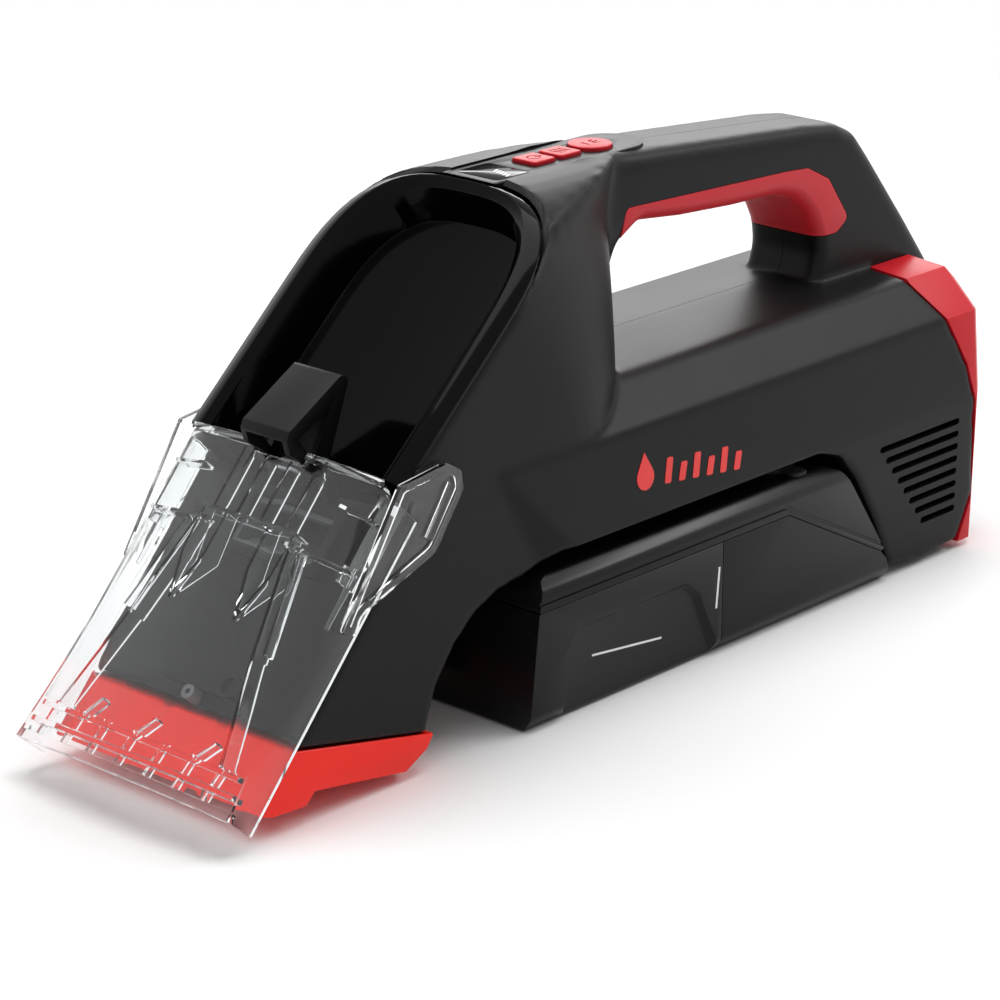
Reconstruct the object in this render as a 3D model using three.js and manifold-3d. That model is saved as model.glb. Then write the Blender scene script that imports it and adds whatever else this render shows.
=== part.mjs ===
// Cordless handheld carpet cleaner: clear suction nozzle, cowl, looped handle, battery, fan, pump and a two-part tank.
// Millimetres, +Z up. The nose points along -X, the near side is -Y, and the machine stands on its flat tank bottom.
import * as THREE from "three";
import { mergeVertices } from "three/addons/utils/BufferGeometryUtils.js";
import Module from "manifold-3d";

const wasm = await Module();
wasm.setup();

// ---------------------------------------------------------------- driving dimensions
const GAP = 0.3; // between pieces that touch
const WALL = 2.5; // moulded housing wall
const NOSE_X = -219; // most forward point of the suction lip
const REAR_X = 205; // rearmost point of the rear cover
const BODY_HALF_WIDTH = 54; // main body, at the lower edge of its side wall
const SHOULDER_HALF_WIDTH = 51; // main body, at the lower edge of the deck's chamfer
const NOSE_HALF_WIDTH = 50; // nose and cowl
const DECK_HEIGHT = 113; // deck ridge
const DECK_EDGE = { y: 36, drop: 2.4 }; // where the deck turns into its chamfer
const SHOULDER_DROP = 17; // deck ridge to the lower edge of the chamfer
const CROWN_HEIGHT = 183.5; // top of the cowl and of the handle's front
const BAY_ROOF = 62; // underside of the housing above the tank
const TANK_HEIGHT = 55;
const TANK_HALF_WIDTH = 54.5;
const TANK_WALL = 2;
const TANK_FRONT_X = -74;
const TANK_REAR_X = 132;
const TANK_SPLIT_X = 30; // dirty tank in front, clean tank behind
const HANDLE_HALF_WIDTH = 18;
const GRIP_THICKNESS = 3; // soft pad around the handle's underside

// Rim plane of the cowl and front plane of the nozzle share this foot, at the nozzle's top edge.
const RIM_FOOT = { x: -132.7, z: 105.9 };
const RIM_ANGLE = THREE.MathUtils.degToRad(42);
const NOZZLE_ANGLE = THREE.MathUtils.degToRad(48.4);
const PANEL_DEPTH = 16; // from the nozzle's front plane back to the front panel
const PANEL_THICKNESS = 2.5;
const TROUGH_HALF_WIDTH = 40;
const TROUGH_DEPTH = 17;
const TROUGH_WALL = 2.5;
const RIM_FLANGE = 4; // thickness of the rim's flange along the rim plane's normal
const ARCH_STRAIGHT = 60; // straight length of the arch's sides
const ARCH_POWER = 3; // roundness of the arch's top

const NOZZLE_WALL = 2;
const NOZZLE_HALF_WIDTH = 51;
const DUCT_WALL = 1.8;
const CELL = { radius: 9.15, length: 65, pitch: 19.2, count: 4 };
const FAN = { z: 66, radius: 32, housingRadius: 36, front: 131, length: 20 };
const MOTOR = { radius: 20, length: 32, shaftRadius: 2.5 };
const PUMP = { x: -52, y: 34, z: 79, radius: 11, length: 44 };
const TUBE_RADIUS = 3;
const SCREW = { radius: 1.4, headRadius: 3, headLength: 2.4, bossRadius: 3.6 };
const BUTTON_TRAVEL = 1.2;
const FAR = 90; // beyond the machine's sides
const REAR = { trimEnd: 198, inset: 8, coverInset: 14, thickness: 3 };
const CATCH = { pivot: [-83.5, 49.5], halfWidth: 16, thickness: 3, pinRadius: 1.3 };
const FLOAT = { x: 12, radius: 8, cageWall: 1.6, travel: 8 };
const FILL = { x: 80, y: -34, radius: 8, capHalf: 11 };
const SOCKET = { z: 24, radius: 5 };
const LIP_V = (14.5 - RIM_FOOT.z) / Math.sin(NOZZLE_ANGLE); // the lip, along the front plane
const EAR = { gap: 0.5, thickness: 2 };
const DUCT = { v0: -14, v1: -32, halfWidth: 20 }; // suction port along the nozzle's front plane
const SPRAY = { v: -86, radius: 4, halfLength: 13, jetRadius: 2.6 };
const LATCH = { halfWidth: 11, pivot: [-130.2, 99.2], pinRadius: 1.4, pinHalfLength: 14.6 };

// ---------------------------------------------------------------- materials
const plastic = (color, roughness) => new THREE.MeshStandardMaterial({ color, roughness, metalness: 0 });
const metal = (color, roughness) => new THREE.MeshStandardMaterial({ color, roughness, metalness: 1 });
const SATIN_BLACK = plastic(0x232325, 0.55);
const GLOSS_BLACK = plastic(0x0a0a0b, 0.15);
const TANK_BLACK = plastic(0x2b2b2d, 0.3);
const RED = plastic(0xd8202e, 0.4);
const FOOT_RED = plastic(0xf2342a, 0.35);
const CLEAR = new THREE.MeshStandardMaterial({ color: 0xe8eef0, roughness: 0.05, transparent: true, opacity: 0.3 });
const RUBBER = plastic(0x18181a, 0.9);
const GREY_PLASTIC = plastic(0x6c6f73, 0.6);
const WHITE_PLASTIC = plastic(0xe6e6e2, 0.5);
const BOARD_GREEN = plastic(0x1d5a36, 0.5);
const CELL_WRAP = plastic(0x2a62b8, 0.4);
const FOAM = plastic(0x3a3a3c, 1);
const STEEL = metal(0xb8bcc0, 0.35);
const SILICONE = plastic(0xd9dcdc, 0.35);

// ---------------------------------------------------------------- solids
// A three.js geometry as a manifold solid.
function solidOf(geometry) {
  const bare = geometry.index ? geometry.toNonIndexed() : geometry.clone();
  bare.deleteAttribute("normal");
  bare.deleteAttribute("uv");
  const merged = mergeVertices(bare, 1e-3);
  return new wasm.Manifold(
    new wasm.Mesh({
      numProp: 3,
      vertProperties: merged.attributes.position.array,
      triVerts: new Uint32Array(merged.index.array),
    }),
  );
}

function geometryOf(solid) {
  const mesh = solid.getMesh();
  const geometry = new THREE.BufferGeometry();
  geometry.setAttribute("position", new THREE.BufferAttribute(new Float32Array(mesh.vertProperties), 3));
  geometry.setIndex(new THREE.BufferAttribute(new Uint32Array(mesh.triVerts), 1));
  geometry.computeVertexNormals();
  return geometry;
}

const join = (...solids) => solids.reduce((a, b) => a.add(b));
const cut = (solid, ...tools) => tools.reduce((a, b) => a.subtract(b), solid);
const common = (...solids) => solids.reduce((a, b) => a.intersect(b));

// Frames that carry a drawn outline (first and second axis) and its extrusion (third axis).
const X = new THREE.Vector3(1, 0, 0);
const Y = new THREE.Vector3(0, 1, 0);
const Z = new THREE.Vector3(0, 0, 1);
const sideFrame = new THREE.Matrix4().makeBasis(X, Z, Y.clone().negate());
const crossFrame = new THREE.Matrix4().makeBasis(Y, Z, X);

function extruded(points, depth, options = {}) {
  const outline = points.map(([a, b]) => new THREE.Vector2(a, b));
  if (THREE.ShapeUtils.isClockWise(outline)) outline.reverse();
  return new THREE.ExtrudeGeometry(new THREE.Shape(outline), { depth, bevelEnabled: false, ...options });
}

// Outline in X and Z, between two values of Y.
function sidePrism(points, y0, y1) {
  return solidOf(extruded(points, y1 - y0).applyMatrix4(sideFrame).translate(0, y1, 0));
}

// Outline in Y and Z, between two values of X.
function crossPrism(points, x0, x1) {
  return solidOf(extruded(points, x1 - x0).applyMatrix4(crossFrame).translate(x0, 0, 0));
}

// Outline in X and Y, between two values of Z.
function planPrism(points, z0, z1) {
  return solidOf(extruded(points, z1 - z0).translate(0, 0, z0));
}

function box([x0, x1], [y0, y1], [z0, z1]) {
  const geometry = new THREE.BoxGeometry(x1 - x0, y1 - y0, z1 - z0);
  return solidOf(geometry.translate((x0 + x1) / 2, (y0 + y1) / 2, (z0 + z1) / 2));
}

// Cylinder or cone between two points.
function rod(from, to, radius, segments = 20, endRadius = radius) {
  const a = new THREE.Vector3(...from);
  const b = new THREE.Vector3(...to);
  const direction = b.clone().sub(a);
  const geometry = new THREE.CylinderGeometry(endRadius, radius, direction.length(), segments);
  const turn = new THREE.Quaternion().setFromUnitVectors(Y, direction.clone().normalize());
  const middle = a.add(b).multiplyScalar(0.5);
  return solidOf(geometry.applyQuaternion(turn).translate(middle.x, middle.y, middle.z));
}

function pipe(from, to, radius, wall, segments = 20) {
  const along = new THREE.Vector3(...to).sub(new THREE.Vector3(...from)).normalize();
  const before = new THREE.Vector3(...from).sub(along).toArray();
  const beyond = new THREE.Vector3(...to).add(along).toArray();
  return cut(rod(from, to, radius, segments), rod(before, beyond, radius - wall, segments));
}

// Flexible tube through a list of points.
function sweptTube(points, radius, steps, sides = 8) {
  const path = new THREE.CatmullRomCurve3(points.map((p) => new THREE.Vector3(...p)));
  const circle = new THREE.Shape();
  circle.absarc(0, 0, radius, 0, 2 * Math.PI, false);
  const options = { steps, extrudePath: path, curveSegments: sides / 2, bevelEnabled: false };
  return solidOf(new THREE.ExtrudeGeometry(circle, options));
}

// Closed surface through flat loops of equally many points, square to one axis each.
function loft(loops) {
  const count = loops[0].length;
  const index = [];
  for (let ring = 0; ring + 1 < loops.length; ring++) {
    for (let i = 0; i < count; i++) {
      const a = ring * count + i;
      const b = ring * count + ((i + 1) % count);
      index.push(a, b, a + count, b, b + count, a + count);
    }
  }
  const axis = [0, 1, 2].find((k) => loops[0].every((p) => Math.abs(p[k] - loops[0][0][k]) < 1e-9));
  const flat = (loop) => loop.map((p) => new THREE.Vector2(...p.filter((_, k) => k !== axis)));
  if (THREE.ShapeUtils.isClockWise(flat(loops[0]))) for (let i = 0; i < index.length; i += 3) flip(index, i);
  const last = (loops.length - 1) * count;
  for (const [a, b, c] of THREE.ShapeUtils.triangulateShape(flat(loops[0]), [])) index.push(c, b, a);
  for (const [a, b, c] of THREE.ShapeUtils.triangulateShape(flat(loops.at(-1)), [])) {
    index.push(last + a, last + b, last + c);
  }
  const geometry = new THREE.BufferGeometry();
  geometry.setAttribute("position", new THREE.Float32BufferAttribute(loops.flat(2), 3));
  geometry.setIndex(index);
  const solid = solidOf(geometry);
  if (solid.volume() > 0) return solid;
  for (let i = 0; i < index.length; i += 3) flip(index, i);
  geometry.setIndex(index);
  return solidOf(geometry);
}

function flip(index, i) {
  [index[i], index[i + 1]] = [index[i + 1], index[i]];
}

// ---------------------------------------------------------------- outlines
// A closed outline moved inwards by a distance (outwards when it is negative).
function inset(points, distance) {
  const area = points.reduce((sum, [x, y], i) => {
    const [nx, ny] = points[(i + 1) % points.length];
    return sum + x * ny - nx * y;
  }, 0);
  const side = Math.sign(area) * distance;
  const lines = points.map(([x, y], i) => {
    const [nx, ny] = points[(i + 1) % points.length];
    const length = Math.hypot(nx - x, ny - y);
    const [dx, dy] = [(nx - x) / length, (ny - y) / length];
    return { x: x - dy * side, y: y + dx * side, dx, dy };
  });
  return points.map((_, i) => {
    const a = lines[(i + points.length - 1) % points.length];
    const b = lines[i];
    const cross = a.dx * b.dy - a.dy * b.dx;
    if (Math.abs(cross) < 1e-6) return [b.x, b.y];
    const t = ((b.x - a.x) * b.dy - (b.y - a.y) * b.dx) / cross;
    return [a.x + a.dx * t, a.y + a.dy * t];
  });
}

const mirrored = (half) => [...half, ...half.map(([y, z]) => [-y, z]).reverse()];

// A point at a distance v along a front plane and a depth behind it, in X and Z.
function onPlane(angle, v, depth) {
  const x = RIM_FOOT.x + v * Math.cos(angle) + depth * Math.sin(angle);
  const z = RIM_FOOT.z + v * Math.sin(angle) - depth * Math.cos(angle);
  return [x, z];
}
const onRim = (v, depth) => onPlane(RIM_ANGLE, v, depth);
const onNozzle = (v, depth) => onPlane(NOZZLE_ANGLE, v, depth);

// Point of the nozzle plane's parallel at a depth, at a given height.
function nozzleAtHeight(z, depth) {
  const [x0, z0] = onNozzle(0, depth);
  return [x0 + (z - z0) / Math.tan(NOZZLE_ANGLE), z];
}

// Arch across the rim plane, from below its foot to its crown: half width and height along the plane.
const ARCH_CROWN = (CROWN_HEIGHT - RIM_FOOT.z) / Math.sin(RIM_ANGLE);
function archHalf(halfWidth, crown, foot) {
  const half = [[halfWidth, foot]];
  const steps = 10;
  for (let i = 0; i <= steps; i++) {
    const angle = ((Math.PI / 2) * i) / steps;
    const across = halfWidth * Math.cos(angle) ** (2 / ARCH_POWER);
    half.push([across, ARCH_STRAIGHT + (crown - ARCH_STRAIGHT) * Math.sin(angle) ** (2 / ARCH_POWER)]);
  }
  return half;
}
function archOutline(halfWidth, crown, foot) {
  const half = archHalf(halfWidth, crown, foot);
  return [...half, ...half.slice(0, -1).map(([y, v]) => [-y, v]).reverse()];
}
function archPrism(halfWidth, crown, foot, depth0, depth1) {
  const along = new THREE.Vector3(Math.cos(RIM_ANGLE), 0, Math.sin(RIM_ANGLE));
  const outward = new THREE.Vector3(-Math.sin(RIM_ANGLE), 0, Math.cos(RIM_ANGLE));
  const frame = new THREE.Matrix4().makeBasis(Y.clone().negate(), along, outward);
  frame.setPosition(RIM_FOOT.x, 0, RIM_FOOT.z);
  const geometry = extruded(archOutline(halfWidth, crown, foot), depth1 - depth0);
  return solidOf(geometry.translate(0, 0, -depth1).applyMatrix4(frame));
}

// ---------------------------------------------------------------- housing
const shoulderHeight = DECK_HEIGHT - SHOULDER_DROP;
const mainSection = [
  [BODY_HALF_WIDTH - 1, 0],
  [BODY_HALF_WIDTH, BAY_ROOF],
  [SHOULDER_HALF_WIDTH, shoulderHeight],
  [DECK_EDGE.y, DECK_HEIGHT - DECK_EDGE.drop],
  [0.5, DECK_HEIGHT],
];
const noseSection = [
  [NOSE_HALF_WIDTH, 0],
  [NOSE_HALF_WIDTH, BAY_ROOF],
  [NOSE_HALF_WIDTH, shoulderHeight],
  [NOSE_HALF_WIDTH - 2, DECK_HEIGHT - DECK_EDGE.drop],
  [0.5, DECK_HEIGHT],
];
const noseEnd = -100; // the nose's narrow section ends here and widens to the main section
const mainStart = -58;

// Underside of the housing: foot seam, arch over the gap behind the nose, tank bay, rear bottom.
const footSeam = { front: 27.5, rearX: -116.4, rearZ: 13.3 };
const bayRear = [
  [TANK_REAR_X - 32.3, BAY_ROOF - 4],
  [TANK_REAR_X - 21.2, BAY_ROOF - 16],
  [TANK_REAR_X - 9.4, BAY_ROOF - 35],
  [TANK_REAR_X + 1.9, 5.3],
];
const underside = [
  [footSeam.rearX - 3, footSeam.rearZ + 4],
  [-115, 30],
  [-106, 42],
  [-96, 50.5],
  [-84, 55.5],
  [-72, 57],
  [-54, BAY_ROOF],
  [TANK_REAR_X - 44.6, BAY_ROOF],
  ...bayRear,
];
// Seam between housing and rear trim, from the bottom to the deck.
const trimSeam = [
  [178, 4.4],
  [187, 22],
  [185, 60],
  [180, 76],
  [168, shoulderHeight],
  [161, DECK_HEIGHT - 4],
  [161, DECK_HEIGHT + 6],
];
const bodyFrontTop = onNozzle(-4, PANEL_DEPTH);
const mainProfile = [
  nozzleAtHeight(footSeam.front, PANEL_DEPTH),
  [footSeam.rearX - 3, footSeam.rearZ + 1],
  ...underside,
  [154.2, 2.9],
  ...trimSeam,
  [-70, DECK_HEIGHT + 6],
  bodyFrontTop,
];

function lowerBody(t) {
  const station = (section, x) => inset(mirrored(section), t).map(([y, z]) => [x, y, z]);
  const lengthwise = loft([
    station(noseSection, NOSE_X),
    station(noseSection, noseEnd),
    station(mainSection, mainStart),
    station(mainSection, REAR_X),
  ]);
  return common(lengthwise, sidePrism(t ? innerProfile(t) : mainProfile, -80, 80));
}

// The hollow: walls along the underside and the deck, open at the front panel, the foot and the rear trim.
function innerProfile(t) {
  const profile = inset(mainProfile, t);
  const count = mainProfile.length;
  const openFront = 2 * WALL;
  profile[0] = [profile[0][0] - 6 * openFront, profile[0][1] - 2 * openFront];
  profile[1] = [profile[1][0] - 0.2 * openFront, profile[1][1] - 3 * openFront];
  profile[count - 1] = [profile[count - 1][0] - 3 * openFront, profile[count - 1][1]];
  for (let i = count - 2 - trimSeam.length; i < count - 2; i++) profile[i] = [profile[i][0] + 30, profile[i][1]];
  return profile;
}

// Horizontal section of cowl and front pillar: full width in front, rounded off towards the handle.
function pillarSection(z, t) {
  const rise = (z - DECK_HEIGHT) / (155 - DECK_HEIGHT);
  const rear = 3 + 14 * rise - t;
  const start = -57 - 22 * rise;
  const power = 2.5 - 0.8 * Math.min(Math.max(rise, 0), 1.2);
  const halfWidth = NOSE_HALF_WIDTH + 0.5 - t;
  const half = [[-170, halfWidth, z]];
  const steps = 9;
  for (let i = 0; i <= steps; i++) {
    const angle = ((Math.PI / 2) * i) / steps;
    const x = start + (rear - start) * Math.sin(angle) ** (2 / power);
    half.push([x, Math.max(halfWidth * Math.cos(angle) ** (2 / power), 0.4), z]);
  }
  return [...half, ...half.map(([x, y]) => [x, -y, z]).reverse()];
}

function cowlBody(t) {
  const heights = [84, DECK_HEIGHT, 127, 141, 155, CROWN_HEIGHT + 2];
  const plan = loft(heights.map((z) => pillarSection(z, t)));
  const crown = ARCH_CROWN - t;
  const arch = archOutline(NOSE_HALF_WIDTH + 0.5 - t, crown, 0).map(([y, v]) => {
    return [y, RIM_FOOT.z + v * Math.sin(RIM_ANGLE)];
  });
  const skirt = [
    [-NOSE_HALF_WIDTH - 0.5 + t, 80],
    [NOSE_HALF_WIDTH + 0.5 - t, 80],
  ];
  const across = crossPrism([...skirt, ...arch], -180, 60);
  const front = t ? -8 : RIM_FLANGE + GAP;
  const sight = [
    onRim(-4, front),
    onRim(140, front),
    [60, 210],
    [60, 84],
    [bodyFrontTop[0] + 8, 84],
    t ? onNozzle(-6, 0) : onNozzle(-6, PANEL_DEPTH),
  ];
  return common(plan, across, sidePrism(sight, -80, 80));
}

// Handle loop in side view: outer edge, and the finger opening.
const handleOuter = [
  [-40, 150],
  [-30, CROWN_HEIGHT - 1],
  [0, CROWN_HEIGHT + 0.5],
  [45, CROWN_HEIGHT - 3],
  [126, CROWN_HEIGHT - 9.7],
  [142, CROWN_HEIGHT - 12],
  [153, CROWN_HEIGHT - 17],
  [162, CROWN_HEIGHT - 27],
  [REAR_X - 18, 127],
  [REAR_X - 1, 106],
  [REAR_X - 6, 86],
  [-40, 86],
];
const fingerOpening = [
  [3, DECK_HEIGHT - 3],
  [5.5, 124],
  [9.5, 138],
  [15, 150],
  [19, 154.5],
  [26, 156],
  [50, 153.2],
  [80, 151.2],
  [105, 150.4],
  [116, 147.5],
  [124, 140],
  [129, 131],
  [130.5, 124],
  [128, 118],
  [121, DECK_HEIGHT - 3],
];

// Prism across the machine with rounded long edges: outline in X and Z, rounding positive inwards.
function roundedSide(points, halfWidth, rounding) {
  const steps = 2;
  const loops = [];
  for (let i = 0; i <= steps; i++) {
    const angle = ((Math.PI / 2) * i) / steps;
    const y = halfWidth - Math.abs(rounding) * (1 - Math.sin(angle));
    loops.push(inset(points, rounding * (1 - Math.cos(angle))).map(([x, z]) => [x, y, z]));
  }
  const near = loops.map((loop) => loop.map(([x, y, z]) => [x, -y, z]));
  return loft([...near.reverse(), ...loops]);
}

function handleBody(t) {
  const round = HANDLE_HALF_WIDTH / 3;
  const bar = roundedSide(inset(handleOuter, t), HANDLE_HALF_WIDTH - t, round);
  const opening = roundedSide(inset(fingerOpening, -t), HANDLE_HALF_WIDTH - t + GAP, -round);
  return cut(bar, opening);
}

function outerBody(t) {
  return join(lowerBody(t), cowlBody(t), handleBody(t));
}

// Region of the handle that the soft grip wraps: its underside and the front of the rear pillar.
const gripRegion = [
  [17, 164],
  [14, 153],
  [40, 140],
  [112, 132],
  [118, 130],
  [140, 130],
  [146, 136],
  [134, 152],
  [122, 158],
  [110, 159],
];

// Port through the bay roof.
const SUCTION_PORT = { x0: -46, x1: -26, halfY: 20 };
const AIR_PORT = { x0: 2, x1: 22, halfY: 14 };
const WATER_PORT = { x: 60, y: 40 };
const port = (p, extra, z0, z1) => box([p.x0 - extra, p.x1 + extra], [-p.halfY - extra, p.halfY + extra], [z0, z1]);

// Side vents: slots that step back along a diagonal.
const VENTS = { count: 8, pitch: 5.1, slot: 2.6, top: 55.5, rear: 175, front: 124, step: 4.1 };
function vents(side) {
  const slots = [];
  for (let i = 0; i < VENTS.count; i++) {
    const z = VENTS.top - i * VENTS.pitch;
    const y = side * (BODY_HALF_WIDTH - 1);
    slots.push(box([VENTS.front + i * VENTS.step, VENTS.rear], [y - 4, y + 4], [z - VENTS.slot, z]));
  }
  return slots;
}

// Recess for the control panel in the crown.
const PANEL = { x0: -47, x1: 27, halfWidth: 12.5, top: CROWN_HEIGHT - 0.9, height: 7 };
function panelOutline(extra) {
  const { x0, x1, halfWidth } = PANEL;
  const r = halfWidth + extra;
  const outline = [
    [x0 - extra, -r],
    [x1, -r],
  ];
  for (let i = 1; i < 8; i++) {
    const angle = -Math.PI / 2 + (Math.PI * i) / 8;
    outline.push([x1 + r * Math.cos(angle), r * Math.sin(angle)]);
  }
  outline.push([x1, r], [x0 - extra, r]);
  return outline;
}

// Screws enter from the far side; each has a boss in both halves.
const SCREWS = {
  nose: [-148, 46],
  cowl: [-66, 128],
  deck: [104, 92],
  grip: [60, 165],
};

const motorFront = FAN.front + FAN.length + GAP;
const RIBS = [
  { x: FAN.front + 6, radius: FAN.housingRadius, segments: 36 },
  { x: motorFront + MOTOR.length - 8, radius: MOTOR.radius + 4, segments: 28 },
];

function housing() {
  const hollow = outerBody(WALL);
  let shell = cut(outerBody(0), hollow);
  const core = outerBody(WALL / 2); // bosses and ribs reach half way into the wall
  const bossLines = Object.values(SCREWS).map(([x, z]) => rod([x, -60, z], [x, 60, z], SCREW.bossRadius, 14));
  shell = join(shell, ...bossLines.map((line) => common(line, core)));
  for (const rib of RIBS) {
    const plate = common(box([rib.x, rib.x + 3], [-60, 60], [0, 112]), core, sidePrism(mainProfile, -80, 80));
    const bore = rod([rib.x - 5, 0, FAN.z], [rib.x + 8, 0, FAN.z], rib.radius + GAP, rib.segments);
    shell = join(shell, cut(plate, bore));
  }
  const gripSpace = cut(sidePrism(gripRegion, -40, 40), handleBody(GRIP_THICKNESS + GAP));
  const [catchX, catchZ] = CATCH.pivot;
  const bracketOutline = [
    [catchX - 3, catchZ - 3],
    [catchX + 3, catchZ - 3],
    [catchX + 5, BAY_ROOF - 3],
    [catchX - 5, BAY_ROOF - 5],
  ];
  for (const side of [-1, 1]) {
    const y = side * (CATCH.halfWidth + 2 * GAP + CATCH.thickness / 2);
    const [y0, y1] = [y - CATCH.thickness / 2, y + CATCH.thickness / 2];
    shell = join(shell, sidePrism(bracketOutline, y0, y1));
  }
  shell = cut(
    shell,
    rod([catchX, -FAR, catchZ], [catchX, FAR, catchZ], CATCH.pinRadius + GAP, 12),
    gripSpace,
    port(SUCTION_PORT, GAP, BAY_ROOF - 9, BAY_ROOF + 9),
    port(AIR_PORT, GAP, BAY_ROOF - 9, BAY_ROOF + 9),
    rod([WATER_PORT.x, WATER_PORT.y, 50], [WATER_PORT.x, WATER_PORT.y, 69], TUBE_RADIUS + 2 * GAP),
    ...vents(-1),
    ...vents(1),
    planPrism(panelOutline(GAP), PANEL.top - PANEL.height - GAP, CROWN_HEIGHT + 5),
  );
  return shell;
}

// ---------------------------------------------------------------- assembly
const machine = new THREE.Group();
machine.position.x = -(NOSE_X + REAR_X) / 2; // the origin lies below the middle of the length

// Adds a named sub-part; slivers that a boolean leaves beside it are dropped.
function add(name, solid, material) {
  const body = solid.decompose().sort((a, b) => b.volume() - a.volume())[0];
  const mesh = new THREE.Mesh(geometryOf(body), material);
  mesh.name = name;
  machine.add(mesh);
  return body;
}

const screwShank = ([x, z], extra) => rod([x, -16, z], [x, FAR, z], SCREW.radius + extra, 12);
function screwSeatY([x, z]) {
  const line = common(rod([x, 0, z], [x, FAR, z], SCREW.headRadius, 12), outerBody(0));
  return line.boundingBox().max[1] - SCREW.headLength - 1;
}

function addHousing() {
  let shell = housing();
  const headRoom = Object.values(SCREWS).map((at) => {
    return rod([at[0], screwSeatY(at), at[1]], [at[0], FAR, at[1]], SCREW.headRadius + GAP, 14);
  });
  shell = cut(shell, ...Object.values(SCREWS).map((at) => screwShank(at, GAP)), ...headRoom);
  const nearHalf = box([-FAR * 3, FAR * 3], [-FAR, -GAP / 2], [-FAR, FAR * 3]);
  const farHalf = box([-FAR * 3, FAR * 3], [GAP / 2, FAR], [-FAR, FAR * 3]);
  add("housing_near", common(shell, nearHalf), SATIN_BLACK);
  add("housing_far", common(shell, farHalf), SATIN_BLACK);
  for (const [name, at] of Object.entries(SCREWS)) {
    const [x, z] = at;
    const seat = screwSeatY(at) + GAP;
    const head = rod([x, seat, z], [x, seat + SCREW.headLength, z], SCREW.headRadius, 12);
    const slot = box([x - 2, x + 2], [seat + 1.4, seat + 5], [z - 0.4, z + 0.4]);
    add(`screw_${name}`, cut(join(head, rod([x, -14, z], [x, seat + 1, z], SCREW.radius, 10)), slot), STEEL);
  }
}

function addGrip() {
  const pad = cut(handleBody(0), handleBody(GRIP_THICKNESS));
  add("grip_pad", common(pad, sidePrism(inset(gripRegion, GAP), -40, 40)), RED);
}

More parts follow.
